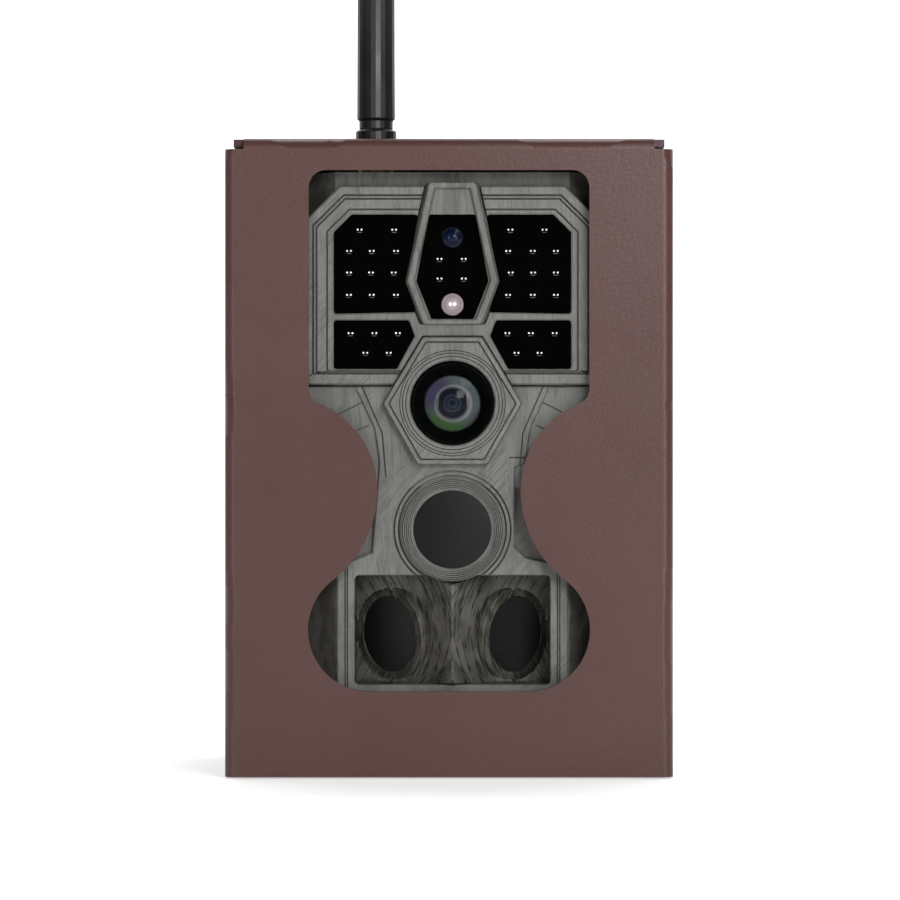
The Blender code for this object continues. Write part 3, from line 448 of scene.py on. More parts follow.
def repeated(unit, spots, look, size=1.0):
    """Copies of one small solid by Geometry Nodes, at spots of (point, turn about each axis)."""
    tree = bpy.data.node_groups.new("Repeat", "GeometryNodeTree")
    sockets = {}
    kinds = {"Spots": "Geometry", "Unit": "Object", "Size": "Float", "Finish": "Material"}
    for name, kind in kinds.items():
        sockets[name] = tree.interface.new_socket(name, in_out="INPUT", socket_type=f"NodeSocket{kind}")
    tree.interface.new_socket("Result", in_out="OUTPUT", socket_type="NodeSocketGeometry")
    make = tree.nodes.new
    given, result = make("NodeGroupInput"), make("NodeGroupOutput")
    info, turn = make("GeometryNodeObjectInfo"), make("GeometryNodeInputNamedAttribute")
    turn.data_type = "FLOAT_VECTOR"
    turn.inputs["Name"].default_value = "turn"
    as_rotation, copies = make("FunctionNodeEulerToRotation"), make("GeometryNodeInstanceOnPoints")
    real, finish = make("GeometryNodeRealizeInstances"), make("GeometryNodeSetMaterial")
    link = tree.links.new
    link(given.outputs["Unit"], info.inputs["Object"])
    link(turn.outputs["Attribute"], as_rotation.inputs[0])
    link(given.outputs["Spots"], copies.inputs["Points"])
    link(info.outputs["Geometry"], copies.inputs["Instance"])
    link(as_rotation.outputs[0], copies.inputs["Rotation"])
    link(given.outputs["Size"], copies.inputs["Scale"])
    link(copies.outputs[0], real.inputs[0])
    link(real.outputs[0], finish.inputs["Geometry"])
    link(given.outputs["Finish"], finish.inputs["Material"])
    link(finish.outputs[0], result.inputs[0])
    mesh = bpy.data.meshes.new("unit")
    unit.to_mesh(mesh)
    helper = bpy.data.objects.new("unit", mesh)
    points = bpy.data.meshes.new("spots")
    points.from_pydata([tuple(point) for point, _ in spots], [], [])
    attribute = points.attributes.new("turn", "FLOAT_VECTOR", "POINT")
    attribute.data.foreach_set("vector", [value for _, turns in spots for value in turns])
    made = bpy.data.objects.new("spots", points)
    for item in (helper, made):
        bpy.context.scene.collection.objects.link(item)
    modifier = made.modifiers.new("Repeat", "NODES")
    modifier.node_group = tree
    for name, value in (("Unit", helper), ("Size", size), ("Finish", look)):
        modifier[sockets[name].identifier] = value
    graph = bpy.context.evaluated_depsgraph_get()
    copied = bpy.data.meshes.new_from_object(made.evaluated_get(graph))
    bm = bmesh.new()
    bm.from_mesh(copied)
    for item in (helper, made):
        bpy.data.objects.remove(item)
    return bm


def round_row(at, radius, count):
    """Spots round an upright axis, each turned to face outwards."""
    spots = []
    for i in range(count):
        angle = math.tau * i / count
        spot = Vector(at) + Vector((radius * math.cos(angle), radius * math.sin(angle), 0.0))
        spots.append((spot, (0, 0, angle)))
    return spots


def unturned(points):
    return [(Vector(point), (0, 0, 0)) for point in points]


def small_parts(name, unit, spots, body, slot, look, **finish):
    """A piece made of copies of one small solid."""
    piece(name, repeated(unit, spots, look), body, slot, look, **finish)


def metal(name, dark, light, rough, scale=500.0, grain=(1, 1, 1)):
    """Plated or brushed metal: fine marks along one axis and duller patches from handling."""
    made, shader, where = new_look(name)
    along = node("Mapping", None, Vector=where, Scale=grain).outputs[0]
    marks = noise(along, scale, 4, 0.6)
    stains = noise(where, 90, 3, 0.6)
    tone = blend(marks, 0.3, 0.7, dark, light)
    tone = blend(stains, 0.5, 0.75, tone, dark, 0.4)
    gloss = spread(maths("ADD", marks, stains), 0.7, 1.3, rough - 0.08, rough + 0.12)
    finish_look(shader, tone, gloss, marks, 0.00001, Metallic=1.0)
    return made


zinc = metal("zinc_plate", (0.36, 0.36, 0.35), (0.62, 0.61, 0.57), 0.34)
brass = metal("brass_plate", (0.42, 0.28, 0.11), (0.72, 0.52, 0.24), 0.28)
eased("box_hinge_pin", zinc, 0.2)
eased("camera_hinge_pin", zinc, 0.15)
eased("camera_shelf", brown, 0.25)
SCREW_Y = 20.5
thread = [(3.1 - 0.3 * (i % 2), 12.4 + 0.5 * i) for i in range(18)]
profile = [(0, 3.3), (1.4, 3.3), (1.6, 3), (4.9, 3), (5.6, 3.7), (5.6, 9.4), (5.0, 9.9), (3.1, 9.9)]
profile += [(3.1, 10.4), (2.9, 10.6), *thread, (2.4, 21.7), (0, 21.7)]
core = turned(profile, (CAM_X, SCREW_Y, 0))
driver = block((CAM_X - 5.1, CAM_X + 5.1), (SCREW_Y - 0.6, SCREW_Y + 0.6), (2.0, 4.1))
knurl = repeated(ridge(0.22, 0.36, 2.6), round_row((CAM_X, SCREW_Y, 6.6), 5.58, 42), brass)
head = joined(cut(core, driver), knurl)
piece("tripod_screw_head", head, "box", "brass", brass, ["tripod_screw"], crease=25)
eased("tripod_insert", brass, 0.15)

# Camera shells: injection-moulded plastic printed all over with a bark camouflage, streaks of dark grey-brown
# on grey-green that run up the body, aslant over the shoulders and round each moulded form.


def streaks(where, lean, scale=1500.0, stretch=0.06):
    """Bark streaks that run up the body, leaned over by an angle in degrees."""
    turn = (0.0, math.radians(lean), 0.0)
    leaned = node("Mapping", None, Vector=where, Rotation=turn).outputs[0]
    along = node("Mapping", None, Vector=leaned, Scale=(1.0, 1.0, stretch)).outputs[0]
    return noise(along, scale, 5, 0.62, 0.8)


def bark(name, light, middle, dark, patch=0.6, rough=0.48):
    """Upright and slanted streaks over soft clouds, with darker blots and painted shade in the grooves."""
    made, shader, where = new_look(name)
    upright, slanted = streaks(where, 4), streaks(where, -42)
    low = node("Mapping", None, Vector=where, Scale=(1.0, 1.0, 0.5)).outputs[0]
    turn = noise(low, 38, 2, 0.5, 0.5)
    grain = blend(turn, 0.5, 0.56, upright, slanted)
    broad = noise(low, 150, 6, 0.7, 1.0)
    tone = blend(broad, 0.36, 0.64, middle, light)
    tone = blend(grain, 0.56, 0.34, tone, dark, 0.5)
    blot = noise(low, 55, 4, 0.55, 1.4)
    tone = blend(blot, patch, patch + 0.04, tone, dark, 0.5)
    # Painted shade: faces shut in by grooves are darkened towards a dim copy of the dark streak colour.
    shut = where.id_data.nodes.new("ShaderNodeAttribute")
    shut.attribute_name = "cavity"
    painted_groove_shade = tuple(0.22 * c for c in dark)
    tone = blend(shut.outputs["Fac"], 0.1, 0.5, tone, painted_groove_shade, 0.92)
    fine = noise(where, 2600, 2, 0.6)
    tone = blend(fine, 0.35, 0.75, tone, light, 0.3)
    gloss = spread(broad, 0.3, 0.7, rough - 0.07, rough + 0.08)
    finish_look(shader, tone, gloss, maths("ADD", fine, grain), 0.00003, Specular_IOR_Level=0.4)
    return made


BARK_PLASTIC = "bark_camouflage_plastic"
bark_light = bark("bark_light", (0.17, 0.176, 0.16), (0.118, 0.12, 0.108), (0.05, 0.048, 0.04), 0.64)
# Painted shade: the shells, ribs and latches sit back in the box, so they get this darker, browner copy of the
# print that the face mouldings carry lighter.
bark_dark = bark("bark_dark", (0.13, 0.126, 0.11), (0.085, 0.08, 0.068), (0.032, 0.029, 0.023), 0.56)
for name, edge in (("front_shell", 0.25), ("rear_shell", 0.25), ("latch_upper", 0.3), ("latch_lower", 0.3)):
    eased(name, bark_dark, edge)
ends = ((30.6, 0.7), (31.5, 0.42))
rib = loft([placed([(-half, -50), (half, -50), (half, 50), (-half, 50)], y) for y, half in ends])
spots = unturned((CAM_X + x, 0, 86.3) for x in (-30, -24, -18, 18, 24, 30))
small_parts("rear_shell_ribs", rib, spots, "box", BARK_PLASTIC, bark_dark, edge=0.2)
tooth = block((-0.3, 0.3), (-0.45, 0.45), (-5.4, 5.4))
lean = math.radians(7)
for word, height in (("upper", 126.0), ("lower", 46.0)):
    spots = []
    for i in range(5):
        along = Matrix.Rotation(lean, 3, "Z") @ Vector((-0.75, -16.2 + 1.7 * i, 0))
        spots.append((Vector((54.1, 19.5, height)) + along, (0, 0, lean)))
    small_parts(f"latch_{word}_grips", tooth, spots, f"latch_{word}", BARK_PLASTIC, bark_dark, edge=0.12)

# Camera face: the moulding behind the window, a raised panel with a pocket for the side sensors, two thin
# grooves round the middle sensor and a pair of grooves down each side. It is part of the front shell.

FACE = -38.0  # y of the moulding's front
LENS, SENSOR = (CAM_X, 98.35), (CAM_X, 65.0)


def offset(points, amounts):
    """An outline moved outwards, by one amount or by one for each edge. Negative amounts go inwards."""
    count = len(points)
    moves = amounts if isinstance(amounts, (list, tuple)) else [amounts] * count
    area = sum(a[0] * b[1] - b[0] * a[1] for a, b in zip(points, points[1:] + points[:1]))
    lines = []
    for (a, b), move in zip(zip(points, points[1:] + points[:1]), moves):
        along = (Vector(b) - Vector(a)).normalized()
        out = Vector((along.y, -along.x)) * (move if area > 0 else -move)
        lines.append((Vector(a) + out, along))
    moved = []
    for i in range(count):
        (p, d), (q, e) = lines[i - 1], lines[i]
        turn = d.x * e.y - d.y * e.x
        if abs(turn) < 1e-6:
            moved.append(tuple(q))
            continue
        reach = ((q - p).x * e.y - (q - p).y * e.x) / turn
        moved.append(tuple(p + d * reach))
    return moved


def softened(points, radius, steps=4):
    """An outline with each corner rounded off."""
    soft = []
    for before, here, after in zip(points[-1:] + points[:-1], points, points[1:] + points[:1]):
        a, b = Vector(before) - Vector(here), Vector(after) - Vector(here)
        half = a.angle(b) / 2
        reach = min(radius / math.tan(half), 0.45 * min(a.length, b.length))
        start, end = Vector(here) + a.normalized() * reach, Vector(here) + b.normalized() * reach
        for i in range(steps + 1):
            t = i / steps
            soft.append(tuple(start * (1 - t) ** 2 + Vector(here) * 2 * t * (1 - t) + end * t**2))
    return soft


def stepped(outline, profile):
    """A plate whose edge follows a profile of (inset, y), from the back to the front. A list as an inset
    holds how far out each edge goes."""
    outs = [(inset if isinstance(inset, list) else -inset, y) for inset, y in profile]
    return loft([placed(offset(outline, out), y) for out, y in outs])


def through(outline, back, front, flare=0.3):
    """A cutter for a hole that widens a little at the plate's front."""
    return stepped(outline, [(0, back), (0, front + flare), (-flare, front), (-flare - 0.6, front - 0.6)])


def round_cutter(radius, height, back=3, front=-3, steps=64):
    """A cylinder on the camera's middle line, from back to front of the face."""
    return turned([(0, back), (radius, back), (radius, front), (0, front)], (CAM_X, FACE, height), "Y", steps)


def camouflaged(name, bm, replaces=(), crease=32):
    """A piece of the front moulding, with the bark print and painted shade in its grooves."""
    piece(name, bm, "camera_front", BARK_PLASTIC, bark_light, replaces, crease=crease, painted_groove_shade=True)


def at_face(points, z=0.0):
    return [(CAM_X + x, z + height) for x, height in points]


def groove(radius, centre, y, width=0.42, depth=0.55):
    half = width / 2
    profile = [(radius - half, 1), (radius + half, 1), (radius + half, -depth), (radius - half, -depth)]
    return turned([(r, -h if h > 0 else -h) for r, h in profile], (centre[0], y, centre[1]), "Y", 72, True)


def seam(start, end, y, width=0.36, depth=0.55):
    """A cutter for a straight groove in a face at y."""
    a, b = Vector(start), Vector(end)
    across = Vector((b.y - a.y, a.x - b.x)).normalized() * width / 2
    corners = [tuple(a + across), tuple(b + across), tuple(b - across), tuple(a - across)]
    return loft([placed(corners, y + depth), placed(corners, y - 1)])


shoulders = [(39.0, 102.9), (39.0, 98.0), (31.0, 84.5), (26.0, 76.0), (14.0, 76.0)]
shoulders = [(CAM_X + x, z) for x, z in shoulders] + [(CAM_X - x, z) for x, z in reversed(shoulders)]
lower_plate = stepped(shoulders, [(0, FACE + 0.1), (0, FACE - 0.5), (0.4, FACE - 0.9)])
for side in (-1, 1):
    for low, high in ((99.5, 95.0), (92.5, 89.0)):
        ends = ((CAM_X + side * 22.0, low), (CAM_X + side * 40.0, 2 * high - low))
        lower_plate = cut(lower_plate, seam(*ends, FACE - 0.9, 0.3, 0.4))
camouflaged("face_shoulders", lower_plate)
right = [(25.9, 102.9), (20.7, 91.6), (19.4, 82.6), (16.6, 81.2), (16.4, 60.5), (19.5, 57.6), (30.6, 55.2)]
right += [(30.6, 15.2)]
left = [(-30.6, 15.2), (-30.6, 55.2), (-21.2, 59.0), (-20.4, 70.0), (-19.4, 82.6), (-20.7, 91.6)]
left += [(-25.9, 102.9)]
panel = [(CAM_X + x, z) for x, z in right + left]
panel_front = FACE - 1.6
plate = stepped(panel, [(0, FACE + 0.1), (0, panel_front + 0.4), (0.4, panel_front)])
pocket = rounded(CAM_X - 25.85, CAM_X + 25.85, 24.0, 52.9, 1.2, 5)
plate = cut(plate, through(pocket, FACE + 1, panel_front, 0.25))
plate = cut(plate, round_cutter(9.6, SENSOR[1]), round_cutter(10.95, LENS[1]))
plate = cut(plate, *(groove(r, SENSOR, panel_front, 0.5, 0.8) for r in (14.2, 15.4)))
for side in (-1, 1):
    for x in (27.75, 28.35):
        plate = cut(plate, seam((CAM_X + side * x, 14), (CAM_X + side * x, 55), panel_front))
    plate = cut(plate, seam((CAM_X + side * 24.0, 103), (CAM_X + side * 18.6, 90.5), panel_front))
    plate = cut(plate, seam((CAM_X + side * 18.6, 90.5), (CAM_X + side * 17.6, 79), panel_front))
plate = cut(plate, seam((CAM_X + 15.0, 84.0), (CAM_X + 20.5, 84.0), panel_front))
camouflaged("face_panel", plate)

# Infrared frame: a moulded surround with a double groove round its edge, and a separate coffin-shaped bezel
# in the middle whose rim stands proud. Both carry the bark print, with painted shade in their grooves that
# leaves the raised bands lighter.

FOOT = 103.2  # height of the frame's lower edge
corner = [(29.7, 52.5), (39.3, 43.0), (39.3, 1.5), (37.8, 0.0)]
outline = at_face(corner + [(-x, z) for x, z in reversed(corner)], FOOT)
low = len(corner) - 1  # the frame's lower edge


def banded(inset, low_inset):
    amounts = [-inset] * (2 * len(corner))
    amounts[low] = -low_inset
    return amounts


bands = [(0, 0, -38.5), (0, 0, -41.0), (0.4, 0.4, -41.5), (2.25, 2.7, -41.5), (2.32, 2.76, -40.8)]
bands += [(2.74, 3.05, -40.8), (2.8, 3.1, -41.4), (3.2, 3.2, -41.4), (3.26, 3.25, -40.85)]
bands += [(3.62, 3.45, -40.85), (3.7, 3.5, -41.4), (6.0, 3.6, -41.4), (6.06, 3.63, -40.8)]
bands += [(6.42, 3.74, -40.8), (6.48, 3.78, -41.2)]
body = stepped(outline, [(banded(inset, low_inset), y) for inset, low_inset, y in bands])
upper = [(-26.6, 44.8), (-9.2, 44.8), (-11.7, 27.4), (-9.6, 19.3), (-31.2, 18.9), (-31.2, 40.2)]
upper = at_face(upper, FOOT)
lower = at_face([(-31.2, 16.9), (-11.6, 16.9), (-10.1, 12.9), (-14.8, 4.3), (-31.2, 4.3)], FOOT)
middle = at_face([(-6.0, 44.8), (6.0, 44.8), (9.4, 27.4), (5.5, 17.5), (-5.5, 17.5), (-9.4, 27.4)], FOOT)
coffin = at_face([(5.9, 53.4), (11.65, 27.4), (7.4, 16.1), (-7.4, 16.1), (-11.65, 27.4), (-5.9, 53.4)], FOOT)
hexagon = [(7.8, 17.55), (18.45, -0.1), (9.25, -16.3)]
hexagon = at_face(hexagon + [(-x, z) for x, z in reversed(hexagon)], LENS[1])
panes = {"upper_left": upper, "upper_right": mirrored(upper, CAM_X), "lower_left": lower}
panes["lower_right"] = mirrored(lower, CAM_X)
for outline in panes.values():
    body = cut(body, through(softened(offset(outline, 0.15), 0.9), -36, -41.2, 0.35))
around = offset(coffin, [1.3, 1.3, 0.2, 1.3, 1.3, 1.3])
body = cut(body, loft([placed(softened(around, 0.8), y) for y in (-36, -45)]))
body = cut(body, loft([placed(softened(offset(hexagon, 0.3), 0.6), y) for y in (-36, -45)]))
camouflaged("ir_surround", body, ["ir_frame"])

rim = [(1.15, -38.5), (1.15, -39.4), (0.15, -42.25), (-0.3, -42.5)]
skirt = [[out, out, min(out, 0.12), out, out, min(out, 0)] for out, _ in rim]
body = loft([placed(softened(offset(coffin, out), 1.2), y) for out, (_, y) in zip(skirt, rim)])
inside = softened(offset(coffin, [-1.55, -1.55, -1.15, -1.55, -1.55, -1.55]), 0.5)
body = cut(body, stepped(inside, [(0.35, -41.5), (0.0, -42.2), (-0.3, -42.5), (-1.2, -43.4)]))
body = cut(body, loft([placed(softened(offset(middle, 0.15), 0.6), y) for y in (-36, -45)]))
camouflaged("coffin_bezel", body, ["centre_bezel"])

# Infrared windows: five panes of black acrylic that only pass infrared, polished on the front, with rows of
# small emitters behind them that show as two glowing painted glints and a faint dash each.


def gloss_black(name, tone, rough=0.12, shine=0.0):
    """Polished black plastic: almost no colour, with faint smears that vary its shine."""
    made, shader, where = new_look(name)
    smears = noise(where, 60, 3, 0.6, 0.5)
    dust = noise(where, 1800, 2, 0.5)
    colour = blend(dust, 0.55, 0.8, tone, tuple(2.2 * c for c in tone), 0.5)
    gloss = spread(smears, 0.3, 0.7, rough, rough + 0.06)
    finish_look(shader, colour, gloss, smears, 0.000004, Specular_IOR_Level=shine)
    return made


pane_black = gloss_black("infrared_black", (0.0012, 0.0012, 0.0013))
emitter = gloss_black("emitter_lens", (0.0013, 0.0013, 0.0014), 0.4, 0.0)
# Painted glints: a faintly glowing white for the bright spots that studio light makes in each emitter and in
# the flash.
made, shader, where = new_look("painted_glint")
glint_glow = tint(noise(where, 900, 2), (0.5, 0.5, 0.5), (0.95, 0.95, 0.95))
gloss = spread(noise(where, 500), 0.3, 0.7, 0.2, 0.35)
finish_look(shader, glint_glow, gloss, Emission_Color=glint_glow, Emission_Strength=0.4)
painted_glint_white = made
dash_grey = metal("bond_dash", (0.05, 0.05, 0.05), (0.12, 0.12, 0.12), 0.4)
panes["centre"] = middle
EYES = {"light_sensor": FOOT + 38.9, "flash_led": FOOT + 21.2}
pane_edge = [(0, -38.6), (0, -40.4), (0.15, -40.55)]
for word, outline in panes.items():
    pane = loft([placed(softened(offset(outline, -inset), 0.75), y) for inset, y in pane_edge])
    if word == "centre":
        pane = cut(pane, *(round_cutter(3.15, height, 4, -4, 48) for height in EYES.values()))
    hidden = [f"ir_window_{word}"]
    piece(f"pane_{word}", pane, "camera_front", "infrared_window", pane_black, hidden, crease=50)
wide_row = (-27.3, -21.3, -14.9, 14.7, 21.2, 27.3)
lamp_rows = {40.7: (-24.5, -15.4, 15.3, 24.3), 35.1: wide_row, 29.4: (-27.3, -21.5, -15.5, 15.4, 21.3, 27.3)}
lamp_rows |= {23.5: wide_row, 13.4: (-26.9, -20.6, -14.4, 14.5, 20.7, 27.0), 8.2: (-23.0, -16.8, 16.9, 23.0)}
lamp_rows |= {33.0: (-3.4, 3.0), 27.8: (-3.4, 3.0)}
lamp_spots = [(CAM_X + x, FOOT + z) for z, row in lamp_rows.items() for x in row]


def front_parts(name, unit, spots, slot, look, **finish):
    """Small parts that swing with the camera's front."""
    small_parts(name, unit, spots, "camera_front", slot, look, **finish)


case = rounded(-2.3, 2.3, -2.3, 2.3, 0.7, 3)
case = stepped(case, [(0, 0.1), (0, -0.03), (0.12, -0.08)])
front_parts("emitter_cases", case, unturned((x, -40.55, z) for x, z in lamp_spots), "infrared_window", emitter)
glint_bead = turned([(0, -0.09), (0.13, -0.08), (0.23, -0.03), (0.25, 0.05), (0, 0.05)], (0, 0, 0), "Y", 12)
# Two glowing painted glints on each emitter.
spots = unturned((x + aside, -40.64, z + 0.25) for x, z in lamp_spots for aside in (-0.5, 0.5))
front_parts("emitter_spots", glint_bead, spots, "lens_glass", painted_glint_white)
dash = loft([placed(rounded(-0.62, 0.62, -0.09, 0.09, 0.08, 2), y) for y in (0.05, -0.03)])
spots = unturned((x, -40.65, z - 0.45) for x, z in lamp_spots)
front_parts("emitter_dashes", dash, spots, "lens_glass", dash_grey)

# Light sensor and flash: two round lenses in the middle window, one deep blue over the light sensor and one
# milky with a white light-emitting diode behind it, with two glowing painted glints on the milky lens.


def radial(where, centre):
    """Distance in millimetres from a middle seen from the front, and how far across and up."""
    moved = node("VectorMath", {"operation": "SUBTRACT"}, i0=where, i1=Vector(centre) * MM).outputs[0]
    flat = node("VectorMath", {"operation": "MULTIPLY"}, i0=moved, i1=(1000, 0, 1000)).outputs[0]
    parts = node("SeparateXYZ", None, Vector=flat)
    distance = node("VectorMath", {"operation": "LENGTH"}, i0=flat).outputs["Value"]
    return distance, parts.outputs[0], parts.outputs[2]


def banded_colour(distance, stops, span):
    """Colours by distance from a middle, from (distance, colour) stops."""
    ramp = distance.id_data.nodes.new("ShaderNodeValToRGB")
    set_inputs(ramp, {"Fac": maths("DIVIDE", distance, float(span))})
    elements = ramp.color_ramp.elements
    while len(elements) < len(stops):
        elements.new(1.0)
    for element, (place, colour) in zip(elements, stops):
        element.position = place / span
        element.color = (*colour, 1)
    return ramp.outputs[0]


deep_blue = [(0.0, (0.004, 0.012, 0.045)), (1.4, (0.002, 0.005, 0.02)), (2.2, (0.0015, 0.003, 0.01))]
deep_blue += [(2.5, (0.012, 0.016, 0.032)), (2.8, (0.004, 0.005, 0.01))]
milky = [(0.0, (0.46, 0.38, 0.39)), (1.5, (0.3, 0.24, 0.255)), (2.3, (0.24, 0.19, 0.205))]
milky += [(2.6, (0.36, 0.3, 0.31)), (2.9, (0.2, 0.16, 0.17))]
kinds = (("light_sensor", deep_blue, 2.75, "infrared_window"), ("flash_led", milky, 3.02, "lens_glass"))
for word, stops, reach, slot in kinds:
    made, shader, where = new_look(f"{word}_lens")
    distance = radial(where, (CAM_X, 0, EYES[word]))[0]
    wobble = maths("ADD", distance, spread(noise(where, 700), 0.3, 0.7, -0.15, 0.15))
    colour = banded_colour(wobble, stops, 3.0)
    gloss = spread(noise(where, 300), 0.3, 0.7, 0.08, 0.16)
    shine = {"Coat_Weight": 0.05, "Coat_Roughness": 0.05, "Specular_IOR_Level": 0.08}
    finish_look(shader, colour, gloss, noise(where, 500), 0.00001, **shine)
    profile = [(0, -3.0), (reach - 1.5, -2.9), (reach - 0.6, -2.65), (reach - 0.12, -2.25), (reach, -1.9)]
    profile += [(reach, 3.0), (0, 3.0)]
    dome = turned(profile, (CAM_X, FACE, EYES[word]), "Y")
    piece(f"{word}_dome", dome, "camera_front", slot, made, [word], crease=50)
glint = turned([(0, -0.12), (0.35, -0.1), (0.5, 0.0), (0.5, 0.1), (0, 0.1)], (0, 0, 0), "Y", 16)
# Two glowing painted glints on the flash lens.
pair = unturned((CAM_X + x, FACE - 2.95, EYES["flash_led"] + 0.1) for x in (-0.55, 0.55))
front_parts("flash_diodes", glint, pair, "lens_glass", painted_glint_white)

# Camera lens: a hexagonal plastic bezel with fine turned rings, a dished gloss-black hood and a coated glass
# lens whose elements show inside it as nested rings, with painted coloured reflections of its coating.

rim = [(0, -38.5), (0, -42.2), (0.35, -42.85), (1.25, -42.95), (1.32, -42.4), (1.62, -42.4), (1.7, -42.8)]
body = loft([placed(softened(offset(hexagon, -inset), 0.9), y) for inset, y in rim])
body = cut(body, round_cutter(11.2, LENS[1], 4, -7, 72))
rings = ((13.9, 0.26), (13.2, 0.26), (12.3, 0.26), (11.3, 0.4))
body = cut(body, *(groove(radius, LENS, -42.8, width, 0.4) for radius, width in rings))
camouflaged("hexagon_bezel", body, ["lens_bezel"])
hood_black = gloss_black("hood_black", (0.0014, 0.0014, 0.0015), 0.3, 0.04)
profile = [(10.9, 1.8), (10.9, -4.3), (10.7, -4.55), (10.4, -4.6), (9.9, -4.3), (9.3, -3.3), (8.6, -2.3)]
profile += [(7.9, -1.5), (7.5, -1.3), (7.5, 1.8)]
hood = turned(profile, (CAM_X, FACE, LENS[1]), "Y", 96, True)
piece("hood_ring", hood, "camera_front", "black_plastic", hood_black, ["lens_hood"], crease=55)
made, shader, where = new_look("coated_glass")
distance, across_x, across_z = radial(where, (CAM_X, 0, LENS[1]))
away = radial(where, (CAM_X + 0.5, 0, LENS[1] - 0.2))[0]
rings = [(0.0, (0.006, 0.008, 0.014)), (0.9, (0.012, 0.016, 0.028)), (1.1, (0.028, 0.034, 0.05))]
rings += [(1.3, (0.01, 0.013, 0.022)), (2.0, (0.012, 0.015, 0.024)), (2.2, (0.03, 0.036, 0.05))]
rings += [(2.4, (0.008, 0.01, 0.016)), (3.3, (0.006, 0.007, 0.012)), (3.6, (0.004, 0.004, 0.007))]
rings += [(4.1, (0.03, 0.033, 0.038)), (4.5, (0.12, 0.125, 0.135)), (5.1, (0.15, 0.155, 0.16))]
rings += [(5.4, (0.07, 0.073, 0.085)), (6.9, (0.045, 0.048, 0.06)), (7.4, (0.01, 0.01, 0.014))]
base = banded_colour(distance, rings, 7.6)
# Painted reflections of the coating, outside the middle: violet towards the upper left, teal towards the upper
# right and green towards the lower left.
lean = maths("ADD", maths("MULTIPLY", across_x, 0.7), maths("MULTIPLY", across_z, 0.75))
violet_reflection = spread(maths("SUBTRACT", across_z, across_x), -1.0, 6.0)
green = spread(maths("ADD", across_z, maths("MULTIPLY", across_x, 0.35)), -2.0, -6.0)
teal_reflection = spread(lean, 1.5, 5.5)
outside = spread(away, 4.9, 5.4)
colour = tint(maths("MULTIPLY", violet_reflection, outside), base, (0.042, 0.038, 0.068))
colour = tint(maths("MULTIPLY", teal_reflection, outside), colour, (0.062, 0.082, 0.08))
colour = tint(maths("MULTIPLY", green, spread(distance, 3.9, 5.6)), colour, (0.03, 0.068, 0.022))
colour = blend(distance, 7.0, 7.4, colour, (0.006, 0.006, 0.009))
haze = noise(where, 160, 3, 0.5, 0.6)
colour = blend(haze, 0.35, 0.7, colour, (0.03, 0.032, 0.045), 0.25)
shine = {"Coat_Weight": 0.04, "Coat_Roughness": 0.15, "Specular_IOR_Level": 0.04}
finish_look(shader, colour, spread(haze, 0.3, 0.7, 0.05, 0.1), **shine)
profile = [(0, -2.9)] + [(0.74 * i, -2.9 + 1.4 * (i / 10) ** 2) for i in range(1, 11)]
dome = turned(profile + [(7.4, 1.0), (0, 1.0)], (CAM_X, FACE, LENS[1]), "Y", 72)
piece("coated_lens", dome, "camera_front", "lens_glass", made, ["lens_glass"], crease=60)

# Motion sensors: three domed discs of dark infrared-passing plastic. The middle one has a ribbed cone round
# it, and the side ones look left and right from two short tubes on a saddle in the pocket.


def sensor_black(name, left, right, light=1.0):
    """Dark satin plastic with painted light that makes it lighter towards the right, its brightness scaled by
    light, and a fine moulded grain.
    """
    made, shader, where = new_look(name)
    parts = node("SeparateXYZ", None, Vector=where)
    # Painted light: the colour goes from darker at the left to lighter at the right.
    tone = spread(parts.outputs[0], left * MM, right * MM)
    grain = noise(where, 1500, 3, 0.6)
    colour = tint(tone, (0.005 * light,) * 3, (0.013 * light,) * 3)
    colour = blend(grain, 0.4, 0.8, colour, (0.02 * light,) * 3, 0.3)
    gloss = spread(noise(where, 80), 0.3, 0.7, 0.4, 0.5)
    finish_look(shader, colour, gloss, grain, 0.000006, Specular_IOR_Level=0.12)
    return made


def lens_disc(radius, rise, rim, foot):
    """Profile of a domed disc with a turned-over rim."""
    ball = (radius**2 + rise**2) / (2 * rise)
    widest = math.asin(radius / ball)
    front = []
    for i in range(13):
        a = widest * i / 12
        front.append((ball * math.sin(a), foot - rim - rise + ball * (1 - math.cos(a))))
    return [(0.0, front[0][1]), *front[1:], (radius, foot), (0.0, foot)]


disc_look = sensor_black("sensor_disc", -10, 12)
disc = turned(lens_disc(10.35, 0.5, 1.2, -0.5), (CAM_X, FACE, SENSOR[1]), "Y", 72)
piece("sensor_disc_front", disc, "camera_front", "sensor_lens", disc_look, ["pir_lens_front"], crease=45)
profile = [(10.5, -0.5), (10.5, -1.5), (10.62, -1.6)]
for i in range(5):
    r, h = 10.9 + 0.5 * i, -2.0 - 0.2 * i
    profile += [(r - 0.2, h + 0.7), (r - 0.14, h), (r + 0.14, h - 0.08), (r + 0.2, h + 0.6)]
profile += [(13.28, -3.05), (13.42, -3.0), (13.55, -2.8), (13.55, -0.5)]
ring = turned(profile, (CAM_X, FACE, SENSOR[1]), "Y", 96, True)
camouflaged("sensor_cone", ring, ["pir_ring"], crease=25)

YAW, DIP = math.radians(46), math.radians(4.3)
RIDGE = -41.6
EYE = Vector((16.9, -26.2, 36.8))  # middle of the right tube, from the camera's middle line
AIM = Vector((math.sin(YAW) * math.cos(DIP), -math.cos(YAW) * math.cos(DIP), -math.sin(DIP)))


def soft_least(a, b, room):
    """The lesser of two depths, blended over a distance."""
    share = max(room - abs(a - b), 0.0) / room
    return min(a, b) - share * share * room / 4


def plane_depth(x, z, point, normal):
    return point.y - ((x - point.x) * normal.x + (z - point.z) * normal.z) / normal.y


